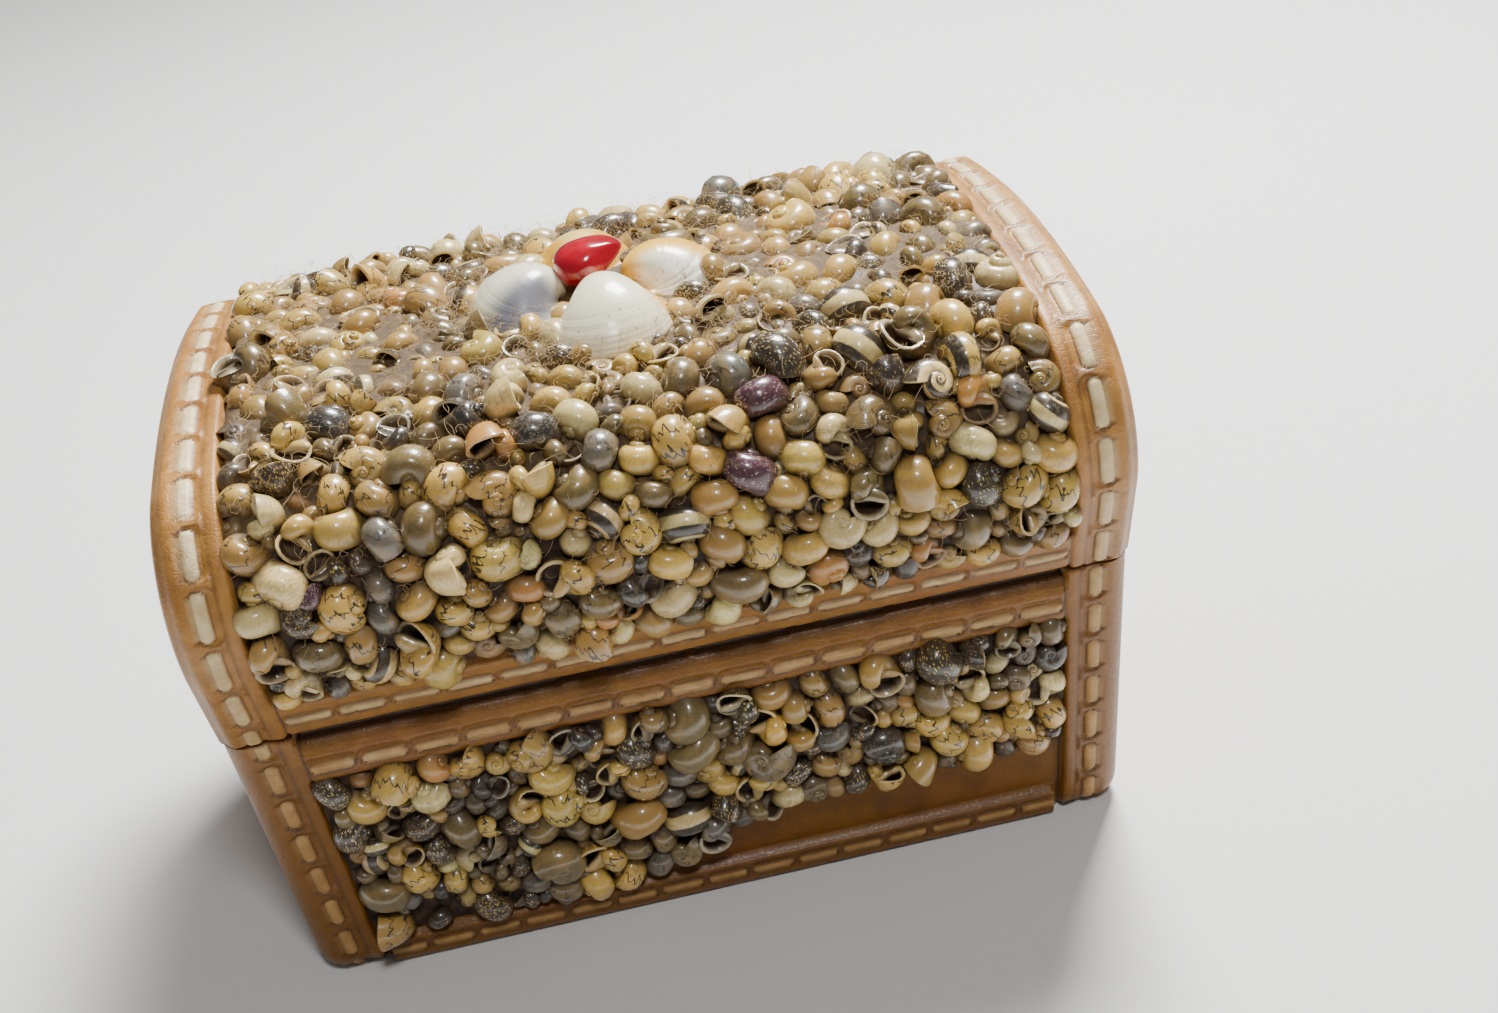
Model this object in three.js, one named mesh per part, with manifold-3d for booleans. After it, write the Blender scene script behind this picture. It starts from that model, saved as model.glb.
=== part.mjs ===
// Shell-covered souvenir box: a tapered moulded body, a lift-off domed lid with
// the same stitched straps, two fields of small snail shells, and a flower of
// four clam valves round a red seed. Millimetres, +Z up, front towards -Y.
// The origin is the centre of the body's underside.

import * as THREE from 'three';
import { mergeVertices } from 'three/addons/utils/BufferGeometryUtils.js';
import Module from 'manifold-3d';

const wasm = await Module();
wasm.setup();

// ---- driving dimensions -----------------------------------------------------

const GAP = 0.3; // kept between neighbouring pieces

// Body, a tapered tray
const BODY_HEIGHT = 45.0;
const TOP_HALF = { x: 65.0, y: 37.9 }; // outside, at the split with the lid
const FOOT_HALF = { x: 62.4, y: 36.9 }; // outside, at the floor
const CORNER_R = 5.5;
const FOOT_ROUND = [[0, 1.6], [0.5, 0.6], [1.8, 0]]; // height and inset of the rounded foot
const FLOOR = 2.4;
const WALL = 4.0; // under the straps; PANEL_SINK thinner behind the panels

// Lid arch, from the front edge upward: an overhanging side, a shoulder, a shallow crown
const LID_Z = BODY_HEIGHT + GAP;
const LID_LEAN = THREE.MathUtils.degToRad(19.5);
const LID_SIDE = 12.7;
const SHOULDER_R = 19;
const CROWN_HALF = THREE.MathUtils.degToRad(11);
const LID_END_LEAN = 0.4; // how much shorter the lid is at the top, each end

// Straps, lips and panels
const STRAP_INNER = 55; // half distance between the two straps at the split
const STITCH_X = 59.0; // line of the straps' stitches at the split
const PANEL_SINK = 1.8;
const LIP = 6.4; // stitched lips along the split
const FOOT_LIP = 5.0; // stitched lip along the floor
const END_FRAME = 9.5; // plain frame round the sunk panels of the ends
const GROOVE_HALF = 1.9;
const GROOVE_DEPTH = 0.7;
const STITCH = { long: 6.0, wide: 2.6, sunk: 0.1, root: 0.6 };
const LIP_PITCH = (2 * STRAP_INNER) / 15;
const BODY_STRAP_PITCH = 6.45;
const LID_STRAP_PITCH = 8.35;
// How far above the split the first stitch of each strap is centred: the left
// strap's first stitch is cut through by the split
const FIRST_STITCH = { left: 0, right: 3.6 };

// Where lid and body meet
const SLOT = { below: 1.0, above: 1.3, deep: 2.4 }; // finger gap between the straps
const RIM = { inset: 2.7, high: 2.2 }; // keeps the lid from sliding
const REBATE = { inset: 2.4, high: 2.6 };

// Shell fields
const SHELL_PITCH = 8.2;
const SHELL_HIGH = 4.4; // from the panel to the top of an average shell
const BED = 1.5; // glue and broken shell under them
const BED_SKIN = 0.2; // and its bare crust under the flower
const ARCH_SEAT = 0.7; // the lid field's flat cells clear the curved panel by this much

// ---- solids from points -----------------------------------------------------

const v3 = (x, y, z) => new THREE.Vector3(x, y, z);

function geometryFrom(points, triangles) {
  const geometry = new THREE.BufferGeometry().setFromPoints(points);
  geometry.setIndex(triangles.flat());
  return geometry;
}

function solid(geometry) {
  const bare = geometry.clone();
  bare.deleteAttribute('normal');
  bare.deleteAttribute('uv');
  const merged = mergeVertices(bare, 1e-4);
  const made = new wasm.Manifold(new wasm.Mesh({
    numProp: 3,
    vertProperties: Float32Array.from(merged.attributes.position.array),
    triVerts: Uint32Array.from(merged.index.array),
  }));
  return made;
}

function mesh(name, piece, material) {
  const { vertProperties, triVerts } = piece.getMesh();
  const geometry = new THREE.BufferGeometry();
  geometry.setAttribute('position', new THREE.BufferAttribute(Float32Array.from(vertProperties), 3));
  geometry.setIndex(Array.from(triVerts));
  geometry.computeVertexNormals();
  const result = new THREE.Mesh(geometry, material);
  result.name = name;
  return result;
}

// A closed solid through rings of equal point counts, capped at both ends.
// Each ring runs anticlockwise seen from the side that the last ring is on.
function loft(rings) {
  const n = rings[0].length;
  const points = rings.flat();
  const triangles = [];
  for (let k = 0; k + 1 < rings.length; k += 1) {
    for (let i = 0; i < n; i += 1) {
      const a = k * n + i;
      const b = k * n + ((i + 1) % n);
      triangles.push([a, b, b + n], [a, b + n, a + n]);
    }
  }
  const flat = capPlane(rings[0]);
  for (const [a, b, c] of THREE.ShapeUtils.triangulateShape(flat, [])) {
    const last = (rings.length - 1) * n;
    triangles.push([c, b, a], [last + a, last + b, last + c]);
  }
  const geometry = geometryFrom(points, triangles);
  return volumeOf(geometry) < 0 ? flipped(geometry) : geometry;
}

function capPlane(ring) {
  const normal = v3(0, 0, 0);
  ring.forEach((p, i) => {
    const q = ring[(i + 1) % ring.length];
    normal.add(p.clone().cross(q));
  });
  const turn = new THREE.Quaternion().setFromUnitVectors(normal.normalize(), v3(0, 0, 1));
  return ring.map((p) => {
    const q = p.clone().applyQuaternion(turn);
    return new THREE.Vector2(q.x, q.y);
  });
}

function volumeOf(geometry) {
  const at = geometry.attributes.position;
  const index = geometry.index.array;
  const [a, b, c] = [v3(0, 0, 0), v3(0, 0, 0), v3(0, 0, 0)];
  let sum = 0;
  for (let i = 0; i < index.length; i += 3) {
    a.fromBufferAttribute(at, index[i]);
    b.fromBufferAttribute(at, index[i + 1]);
    c.fromBufferAttribute(at, index[i + 2]);
    sum += a.dot(b.cross(c));
  }
  return sum;
}

function flipped(geometry) {
  const index = Array.from(geometry.index.array);
  const turned = [];
  for (let i = 0; i < index.length; i += 3) turned.push(index[i], index[i + 2], index[i + 1]);
  geometry.setIndex(turned);
  return geometry;
}

const unionOf = (solids) => wasm.Manifold.union(solids);

// ---- the body's faces -------------------------------------------------------

const taperAt = (z) => THREE.MathUtils.clamp(z / BODY_HEIGHT, -1, 2);
const halfX = (z) => THREE.MathUtils.lerp(FOOT_HALF.x, TOP_HALF.x, taperAt(z));
const halfY = (z) => THREE.MathUtils.lerp(FOOT_HALF.y, TOP_HALF.y, taperAt(z));

// A point on the front (turn 0) or back (turn 1) face; u is x as at the split
const bodyFace = (turn) => (u, z, depth) => {
  const sign = turn ? -1 : 1;
  return v3(sign * u * (halfX(z) / TOP_HALF.x), -sign * (halfY(z) - depth), z);
};

// A point on the right (turn 0) or left (turn 1) end; u is y as at the split
const bodyEnd = (turn) => (u, z, depth) => {
  const sign = turn ? -1 : 1;
  return v3(sign * (halfX(z) - depth), sign * u * (halfY(z) / TOP_HALF.y), z);
};

// A block on a face, between two edges, two levels and two depths
function block(face, [u0, u1], [w0, w1], [d0, d1], steps = [w0, w1]) {
  const rings = steps.map((w) => [face(u0, w, d0), face(u1, w, d0), face(u1, w, d1), face(u0, w, d1)]);
  return solid(loft(rings));
}

function roundedRing(hx, hy, r, z, steps) {
  const ring = [];
  for (let corner = 0; corner < 4; corner += 1) {
    const sx = corner === 0 || corner === 3 ? 1 : -1;
    const sy = corner < 2 ? 1 : -1;
    for (let i = 0; i <= steps; i += 1) {
      const angle = (corner + i / steps) * (Math.PI / 2);
      ring.push(v3(sx * (hx - r) + r * Math.cos(angle), sy * (hy - r) + r * Math.sin(angle), z));
    }
  }
  return ring;
}

// A tapered tray shape through sections of [height, inset from the outside]
const tray = (sections, r, steps) => solid(loft(
  sections.map(([z, inset]) => roundedRing(halfX(z) - inset, halfY(z) - inset, r, z, steps)),
));

// ---- the lid's arch ---------------------------------------------------------

const sideTop = {
  y: -TOP_HALF.y - LID_SIDE * Math.sin(LID_LEAN),
  z: LID_Z + LID_SIDE * Math.cos(LID_LEAN),
};
const shoulderAt = {
  y: sideTop.y + SHOULDER_R * Math.cos(LID_LEAN),
  z: sideTop.z + SHOULDER_R * Math.sin(LID_LEAN),
};
const shoulderTurn = Math.PI / 2 - CROWN_HALF + LID_LEAN;
const SHOULDER = SHOULDER_R * shoulderTurn;
const crownEdgeY = shoulderAt.y - SHOULDER_R * Math.sin(CROWN_HALF);
const CROWN_R = -crownEdgeY / Math.sin(CROWN_HALF);
const crownZ = shoulderAt.z + (SHOULDER_R - CROWN_R) * Math.cos(CROWN_HALF);
const HALF_ARCH = LID_SIDE + SHOULDER + CROWN_R * CROWN_HALF;
const ARCH = 2 * HALF_ARCH;
const LID_TOP = crownZ + CROWN_R;

// The arch at length s from the front edge, with its outward direction
function arch(s) {
  if (s > HALF_ARCH) {
    const mirror = arch(ARCH - s);
    return { y: -mirror.y, z: mirror.z, ny: -mirror.ny, nz: mirror.nz };
  }
  if (s < LID_SIDE) {
    const [ny, nz] = [-Math.cos(LID_LEAN), -Math.sin(LID_LEAN)];
    return { y: -TOP_HALF.y + s * nz, z: LID_Z - s * ny, ny, nz };
  }
  const onShoulder = s < LID_SIDE + SHOULDER;
  const angle = onShoulder
    ? -LID_LEAN + (s - LID_SIDE) / SHOULDER_R
    : Math.PI / 2 - CROWN_HALF + (s - LID_SIDE - SHOULDER) / CROWN_R;
  const [ny, nz] = [-Math.cos(angle), Math.sin(angle)];
  if (onShoulder) return { y: shoulderAt.y + SHOULDER_R * ny, z: shoulderAt.z + SHOULDER_R * nz, ny, nz };
  return { y: CROWN_R * ny, z: crownZ + CROWN_R * nz, ny, nz };
}

const range = (from, to, count) => Array.from({ length: count + 1 }, (_, i) => from + ((to - from) * i) / count);

// Stations of the arch, close together only round the shoulders
const HALF_STATIONS = [0, LID_SIDE, ...range(LID_SIDE, LID_SIDE + SHOULDER, 6).slice(1),
  ...range(LID_SIDE + SHOULDER, HALF_ARCH, 3).slice(1)];
const STATIONS = [...HALF_STATIONS, ...HALF_STATIONS.slice(0, -1).reverse().map((s) => ARCH - s)];

const stationsBetween = (s0, s1) => [s0, ...STATIONS.filter((s) => s > s0 + 0.01 && s < s1 - 0.01), s1];

const lidHalf = (z) => TOP_HALF.x - (LID_END_LEAN * (z - LID_Z)) / (LID_TOP - LID_Z);

// A point on the lid's arch; u is x as at the split
function lidFace(u, s, depth) {
  const at = arch(s);
  const z = at.z - at.nz * depth;
  return v3(u * (lidHalf(at.z) / TOP_HALF.x), at.y - at.ny * depth, z);
}

// One section of the lid across X, its arch sunk by inset and its foot at footZ
function archRing(u, inset, footZ) {
  const ring = STATIONS.map((s) => lidFace(u, s, inset));
  ring[0].z = footZ;
  ring[ring.length - 1].z = footZ;
  return ring;
}

function archSolid(inset, endInset, footZ, roundR, steps) {
  const rings = [];
  for (const sign of [-1, 1]) {
    const half = range(0, 1, steps).map((k) => {
      const angle = (k * Math.PI) / 2;
      const u = TOP_HALF.x - endInset - roundR * (1 - Math.sin(angle));
      return archRing(sign * u, inset + roundR * (1 - Math.cos(angle)), footZ);
    });
    rings.push(...(sign < 0 ? half.reverse() : half));
  }
  return solid(loft(rings));
}

// ---- stitches ---------------------------------------------------------------

// One raised stitch on a face; alongU says whether it lies along u or along w
function stitch(face, across, at, pitch, alongU) {
  const long = Math.min(STITCH.long, pitch - 0.9) / 2;
  const wide = STITCH.wide / 2;
  const [length, width] = [[at - long, at + long], [across - wide, across + wide]];
  const depths = [GROOVE_DEPTH + STITCH.root, STITCH.sunk];
  return alongU ? block(face, length, width, depths) : block(face, width, length, depths);
}

function lipStitches(face, w) {
  const first = -STRAP_INNER + LIP_PITCH / 2;
  const count = Math.round((2 * STRAP_INNER) / LIP_PITCH);
  return range(first, -first, count - 1).map((u) => stitch(face, w, u, LIP_PITCH, true));
}

// Stitches of one strap from first on, towards and past the far end
function strapStitches(face, u, first, end, pitch) {
  const step = Math.sign(end - first) * pitch;
  const count = Math.floor((end - first) / step);
  return range(first, first + count * step, count).map((w) => stitch(face, u, w, pitch, false));
}

const inFront = -2; // depth at which a cutting block starts, clear of the surface

// ---- body -------------------------------------------------------------------

function makeBody() {
  const outer = tray([...FOOT_ROUND, [BODY_HEIGHT, 0]], CORNER_R, 3);
  const rim = tray([BODY_HEIGHT - 5, BODY_HEIGHT + RIM.high].map((z) => [z, RIM.inset]), CORNER_R - 2, 2);
  const hollow = tray([FLOOR, BODY_HEIGHT + 2 * RIM.high].map((z) => [z, WALL]), CORNER_R - 2.5, 2);
  const cuts = [hollow];
  const added = [];
  for (const turn of [0, 1]) {
    const face = bodyFace(turn);
    const panelTop = BODY_HEIGHT - SLOT.below - LIP;
    const grooveWays = [inFront, GROOVE_DEPTH];
    cuts.push(
      block(face, [-STRAP_INNER, STRAP_INNER], [FOOT_LIP, panelTop], [inFront, PANEL_SINK]),
      block(face, [-STRAP_INNER, STRAP_INNER], [BODY_HEIGHT - SLOT.below, BODY_HEIGHT + 5], [inFront, SLOT.deep]),
    );
    const lips = [BODY_HEIGHT - SLOT.below - LIP / 2, FOOT_LIP / 2];
    for (const z of lips) {
      cuts.push(block(face, [-STRAP_INNER, STRAP_INNER], [z - GROOVE_HALF, z + GROOVE_HALF], grooveWays));
      added.push(...lipStitches(face, z));
    }
    for (const [side, above] of [[-STITCH_X, FIRST_STITCH.left], [STITCH_X, FIRST_STITCH.right]]) {
      const first = BODY_HEIGHT + above - (above ? BODY_STRAP_PITCH : 0);
      cuts.push(block(face, [side - GROOVE_HALF, side + GROOVE_HALF], [inFront, BODY_HEIGHT + 5], grooveWays));
      added.push(...strapStitches(face, side, first, 0, BODY_STRAP_PITCH));
    }
    const halfPanel = TOP_HALF.y - END_FRAME;
    cuts.push(block(bodyEnd(turn), [-halfPanel, halfPanel], [FOOT_LIP, panelTop], [inFront, PANEL_SINK]));
  }
  return unionOf([outer, rim]).subtract(unionOf(cuts)).add(unionOf(added).intersect(outer));
}

// ---- lid --------------------------------------------------------------------

function makeLid() {
  const outer = archSolid(0, 0, LID_Z, CORNER_R, 3);
  const hollow = archSolid(WALL, WALL, LID_Z - 5, 0.5, 1);
  const rebateZ = [LID_Z - 5, LID_Z + REBATE.high];
  const rebate = solid(loft(rebateZ.map((z) => roundedRing(
    TOP_HALF.x - REBATE.inset, TOP_HALF.y - REBATE.inset, CORNER_R - REBATE.inset + 0.6, z, 2,
  ))));
  const cuts = [hollow, rebate];
  const added = [];
  const lipS = SLOT.above + LIP / 2;
  const panel = [SLOT.above + LIP, ARCH - SLOT.above - LIP];
  cuts.push(block(lidFace, [-STRAP_INNER, STRAP_INNER], panel, [inFront, PANEL_SINK], stationsBetween(...panel)));
  for (const [edge, inward] of [[0, 1], [ARCH, -1]]) {
    const slot = [edge - inward * 4, edge + inward * SLOT.above];
    const centre = edge + inward * lipS;
    const groove = [centre - GROOVE_HALF, centre + GROOVE_HALF];
    cuts.push(block(lidFace, [-STRAP_INNER, STRAP_INNER], slot, [inFront, SLOT.deep]));
    cuts.push(block(lidFace, [-STRAP_INNER, STRAP_INNER], groove, [inFront, GROOVE_DEPTH]));
    added.push(...lipStitches(lidFace, centre));
  }
  for (const [side, first] of [[-STITCH_X, FIRST_STITCH.left], [STITCH_X, FIRST_STITCH.right]]) {
    const length = [-4, ARCH + 4];
    cuts.push(block(lidFace, [side - GROOVE_HALF, side + GROOVE_HALF], length,
      [inFront, GROOVE_DEPTH], stationsBetween(...length)));
    added.push(...strapStitches(lidFace, side, first, ARCH, LID_STRAP_PITCH));
  }
  for (const sign of [-1, 1]) {
    const sunk = [TOP_HALF.x - PANEL_SINK, TOP_HALF.x - inFront];
    cuts.push(solid(loft(sunk.map((u) => archRing(sign * u, END_FRAME, LID_Z + SLOT.above + LIP)))));
  }
  return outer.subtract(unionOf(cuts)).add(unionOf(added).intersect(outer));
}

// ---- fields of small shells -------------------------------------------------

// A repeatable scatter between -0.5 and 0.5 for lattice place i, j
function scatter(i, j, salt) {
  const wave = Math.sin(i * 127.1 + j * 311.7 + salt * 74.7) * 43758.5453;
  return wave - Math.floor(wave) - 0.5;
}

// A closed sheet of knobs on a face: each lattice cell holds one blunt shell.
// seat is its clearance from the panel, keeps(u, w) says where there are shells,
// and high(u, w) how tall they stand.
function knobField(face, us, ws, seat, keeps, high) {
  const points = [];
  const triangles = [];
  const add = (point) => points.push(point) - 1;
  const [nu, nw] = [us.length - 1, ws.length - 1];
  const step = { u: us[1] - us[0], w: ws[1] - ws[0] };
  const kept = (i, j) => i >= 0 && j >= 0 && i < nu && j < nw
    && keeps((us[i] + us[i + 1]) / 2, (ws[j] + ws[j + 1]) / 2);
  const shake = (i, j, n, m, salt) => (i === 0 || j === 0 || i === n || j === m ? 0 : scatter(i, j, salt) * 0.3);
  const corners = new Map();
  const corner = (i, j, level) => {
    const key = `${i},${j},${level}`;
    if (!corners.has(key)) {
      const u = us[i] + step.u * shake(i, j, nu, nw, 1);
      const w = ws[j] + step.w * shake(i, j, nu, nw, 2);
      corners.set(key, add(face(u, w, PANEL_SINK - (level ? BED : seat))));
    }
    return corners.get(key);
  };
  const quad = (a, b, c, d) => triangles.push([a, b, c], [a, c, d]);
  for (let i = 0; i < nu; i += 1) {
    for (let j = 0; j < nw; j += 1) {
      if (kept(i, j)) {
        const around = [[i, j], [i + 1, j], [i + 1, j + 1], [i, j + 1]];
        const low = around.map(([a, b]) => corner(a, b, 0));
        const valley = around.map(([a, b]) => corner(a, b, 1));
        const [u, w] = [(us[i] + us[i + 1]) / 2, (ws[j] + ws[j + 1]) / 2];
        const size = 0.27 + 0.08 * scatter(i, j, 3);
        const top = PANEL_SINK - high(u, w) * (1 + 0.25 * scatter(i, j, 4));
        const turn = scatter(i, j, 5) * 0.6;
        const crown = [0, 1, 2, 3].map((k) => {
          const angle = turn + ((k + 0.5) * Math.PI) / 2 - Math.PI;
          const reach = size * Math.SQRT2;
          return add(face(u + step.u * reach * Math.cos(angle), w + step.w * reach * Math.sin(angle), top));
        });
        quad(...crown);
        quad(low[3], low[2], low[1], low[0]);
        around.forEach((_, k) => quad(valley[k], valley[(k + 1) % 4], crown[(k + 1) % 4], crown[k]));
        const beside = [[i, j - 1], [i + 1, j], [i, j + 1], [i - 1, j]];
        beside.forEach(([a, b], k) => {
          if (!kept(a, b)) quad(low[k], low[(k + 1) % 4], valley[(k + 1) % 4], valley[k]);
        });
      }
    }
  }
  const geometry = geometryFrom(points, triangles);
  return solid(volumeOf(geometry) < 0 ? flipped(geometry) : geometry);
}

const FIELD_HALF = STRAP_INNER - GAP;
const columns = Math.round((2 * FIELD_HALF) / SHELL_PITCH);
const fieldEdge = SLOT.above + LIP + GAP;

// The flower's place on the lid, seen from above. The seed lies on the four beaks
const SEED = { x: -1.8, y: -0.9, long: 10.4, wide: 8.4, high: 6.5, lift: 0.9 };
const FLOWER_SEAT = 0.5; // height of the valves' rims over the bed
const VALVES = [
  { name: 'clam_front', x: -0.5, y: -13.3, long: 17.4, wide: 16.6, high: 6.3, turn: 5, tint: 0xe9dfc4 },
  { name: 'clam_left', x: -13.0, y: -2.3, long: 17.6, wide: 14.6, high: 5.6, turn: -83, tint: 0xc9c8c2 },
  { name: 'clam_right', x: 9.6, y: -1.1, long: 15.8, wide: 14.6, high: 5.1, turn: 94, tint: 0xead9a4 },
  { name: 'clam_back', x: -2.6, y: 9.1, long: 15.4, wide: 14.2, high: 5.3, turn: 183, tint: 0xe6c774 },
];

const nearValve = (x, y, margin) => VALVES.some((valve) => Math.hypot(x - valve.x, y - valve.y)
  < (valve.long + valve.wide) / 4 + margin);
const underFlower = (x, y) => nearValve(x, y, 4.6) || Math.hypot(x - SEED.x, y - SEED.y) < SEED.long;

function makeLidShells() {
  const rows = Math.round((ARCH - 2 * fieldEdge) / SHELL_PITCH);
  const high = (u, s) => (underFlower(u, s - HALF_ARCH) ? BED + BED_SKIN : SHELL_HIGH);
  return knobField(lidFace, range(-FIELD_HALF, FIELD_HALF, columns),
    range(fieldEdge, ARCH - fieldEdge, rows), ARCH_SEAT, () => true, high);
}

// The lower right of the front panel is bare
const FIELD_FOOT = { left: FOOT_LIP + GAP, bareFrom: -16, right: 14, bareTo: 14 };

function makeFrontShells() {
  const zs = range(FIELD_FOOT.left, BODY_HEIGHT - SLOT.below - LIP - GAP, 5);
  const keeps = (u, z) => {
    const along = (u - FIELD_FOOT.bareFrom) / (FIELD_FOOT.bareTo - FIELD_FOOT.bareFrom);
    return z > THREE.MathUtils.lerp(FIELD_FOOT.left, FIELD_FOOT.right, THREE.MathUtils.clamp(along, 0, 1));
  };
  return knobField(bodyFace(0), range(-FIELD_HALF, FIELD_HALF, columns), zs, GAP, keeps, () => SHELL_HIGH);
}

// ---- flower -----------------------------------------------------------------

// One clam valve, hollow side down: an egg-shaped dome whose beak points to the seed
const VALVE = { around: 14, levels: 4, thick: 1.1, lean: 1.6, pinch: 0.12 };

function makeValve({ long, wide, high }) {
  const dome = (inset, drop) => solid(domeFrom(range(0, Math.PI / 2, VALVE.levels).map((rise) => (
    range(0, 2 * Math.PI, VALVE.around).slice(0, -1).map((turn) => {
      const beak = 1 - VALVE.pinch * Math.max(0, Math.sin(turn)) ** 3;
      const x = (long / 2 - inset) * Math.cos(rise) * Math.cos(turn);
      const y = (wide / 2 - inset) * Math.cos(rise) * Math.sin(turn) * beak + VALVE.lean * Math.sin(rise);
      return v3(x, y, (high - inset) * Math.sin(rise) - drop);
    })))));
  return dome(0, 0).subtract(dome(VALVE.thick, GAP));
}

// A dome from rings that end in a point
function domeFrom(rings) {
  const n = rings[0].length;
  const points = [...rings.slice(0, -1).flat(), rings[rings.length - 1][0]];
  const tip = points.length - 1;
  const triangles = [];
  for (let k = 0; k + 2 < rings.length; k += 1) {
    for (let i = 0; i < n; i += 1) {
      const [a, b] = [k * n + i, k * n + ((i + 1) % n)];
      triangles.push([a, b, b + n], [a, b + n, a + n]);
    }
  }
  const last = (rings.length - 2) * n;
  for (let i = 0; i < n; i += 1) triangles.push([last + i, last + ((i + 1) % n), tip]);
  for (let i = 1; i + 1 < n; i += 1) triangles.push([0, i + 1, i]);
  return geometryFrom(points, triangles);
}

// ---- the box ----------------------------------------------------------------

const plastic = () => new THREE.MeshStandardMaterial({ color: 0xa9683a, roughness: 0.45, metalness: 0 });
const shellStuff = (color) => new THREE.MeshStandardMaterial({ color, roughness: 0.3, metalness: 0 });

const box = new THREE.Group();
box.name = 'shell_box';
box.add(mesh('body', makeBody(), plastic()));
box.add(mesh('lid', makeLid(), plastic()));
box.add(mesh('lid_shells', makeLidShells(), shellStuff(0xb0a080)));
box.add(mesh('front_shells', makeFrontShells(), shellStuff(0xa8977a)));

const bedTop = (y) => lidFace(0, HALF_ARCH + y, PANEL_SINK - BED - BED_SKIN).z;

for (const valve of VALVES) {
  const piece = mesh(valve.name, makeValve(valve), shellStuff(valve.tint));
  piece.position.set(valve.x, valve.y, bedTop(valve.y) + FLOWER_SEAT);
  piece.rotation.set(-Math.asin(valve.y / CROWN_R), 0, THREE.MathUtils.degToRad(valve.turn));
  box.add(piece);
}

const seedGeometry = new THREE.SphereGeometry(0.5, 14, 9).scale(SEED.long, SEED.wide, SEED.high);
const seed = mesh('red_seed', solid(seedGeometry),
  new THREE.MeshStandardMaterial({ color: 0xb3121c, roughness: 0.15, metalness: 0 }));
seed.position.set(SEED.x, SEED.y, bedTop(SEED.y) + FLOWER_SEAT + SEED.lift + SEED.high / 2);
box.add(seed);

export default box;
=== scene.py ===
"""A shell-covered souvenir box: moulded leather-look plastic, small snail shells, a clam flower."""

import math

import bpy
import numpy as np
from mathutils import Matrix, Vector


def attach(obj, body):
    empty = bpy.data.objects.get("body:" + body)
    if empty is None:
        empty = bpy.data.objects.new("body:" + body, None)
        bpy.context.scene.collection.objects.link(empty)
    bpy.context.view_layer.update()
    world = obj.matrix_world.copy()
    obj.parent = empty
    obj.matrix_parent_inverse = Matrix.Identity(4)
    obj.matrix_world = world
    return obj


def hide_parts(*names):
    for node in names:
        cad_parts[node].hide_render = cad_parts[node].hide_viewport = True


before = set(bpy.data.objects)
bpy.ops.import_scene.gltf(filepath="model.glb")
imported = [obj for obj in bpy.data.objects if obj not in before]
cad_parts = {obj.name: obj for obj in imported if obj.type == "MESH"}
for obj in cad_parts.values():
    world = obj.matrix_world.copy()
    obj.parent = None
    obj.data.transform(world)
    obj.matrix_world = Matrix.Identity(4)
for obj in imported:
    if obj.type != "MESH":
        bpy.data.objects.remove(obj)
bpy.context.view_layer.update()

MM = 0.001

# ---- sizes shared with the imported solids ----

BODY_HEIGHT = 45.0 * MM
TOP_HALF_X, TOP_HALF_Y = 65.0 * MM, 37.9 * MM
FOOT_HALF_X, FOOT_HALF_Y = 62.4 * MM, 36.9 * MM
CORNER_R = 4.5 * MM
WALL = 4.0 * MM
FLOOR = 2.4 * MM
LID_Z = 45.3 * MM
LID_LEAN = math.radians(19.5)
LID_SIDE = 12.7 * MM
SHOULDER_R = 19 * MM
CROWN_HALF = math.radians(11)
LID_END_LEAN = 0.4 * MM
STRAP_INNER = 55 * MM
STITCH_X = 59.0 * MM
PANEL_SINK = 1.8 * MM
FOOT_LIP = 5.0 * MM
END_FRAME = 9.5 * MM
LIP_PITCH = 2 * STRAP_INNER / 15
BODY_STRAP_PITCH = 6.45 * MM
LID_STRAP_PITCH = 8.35 * MM
FIRST_STITCH_RIGHT = 3.6 * MM
SLOT_DEEP = 2.4 * MM
RIM_INSET, RIM_HIGH = 2.7 * MM, 2.2 * MM

# ---- small tools ----


def quad_mesh(name, points, quads):
    """An object from numpy points and an (n, 4) array of quads, built without Python loops."""
    data = bpy.data.meshes.new(name)
    quads = np.asarray(quads, dtype=np.int32)
    data.vertices.add(len(points))
    data.vertices.foreach_set("co", np.asarray(points, dtype=np.float32).ravel())
    data.loops.add(quads.size)
    data.loops.foreach_set("vertex_index", quads.ravel())
    data.polygons.add(len(quads))
    data.polygons.foreach_set("loop_start", np.arange(0, quads.size, 4, dtype=np.int32))
    data.polygons.foreach_set("use_smooth", np.ones(len(quads), dtype=bool))
    data.update(calc_edges=True)
    made = bpy.data.objects.new(name, data)
    bpy.context.scene.collection.objects.link(made)
    return made


def set_values(obj, name, values):
    """Stores one value, or one vector, for each vertex of obj."""
    values = np.asarray(values, dtype=np.float32)
    vectors = values.ndim == 2
    layer = obj.data.attributes.new(name, "FLOAT_VECTOR" if vectors else "FLOAT", "POINT")
    layer.data.foreach_set("vector" if vectors else "value", values.ravel())


def smoothstep(x, low, high):
    t = np.clip((x - low) / (high - low), 0, 1)
    return t * t * (3 - 2 * t)


def hump(x, middle, wide):
    return np.exp(-((x - middle) / wide) ** 2)


def soft_noise(x, y, seed, cell):
    """Smooth noise between -1 and 1 from a few seeded waves of about one cell."""
    rng = np.random.default_rng(seed)
    total = np.zeros(np.broadcast(x, y).shape)
    for _ in range(7):
        turn, phase = rng.uniform(0, 2 * math.pi, 2)
        rate = 2 * math.pi / (cell * rng.uniform(0.7, 1.8))
        total = total + np.sin(rate * (x * math.cos(turn) + y * math.sin(turn)) + phase)
    return total / 7 * 1.6

# ---- camera ----

PHOTO_SIZE = (1498, 1013)


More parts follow.
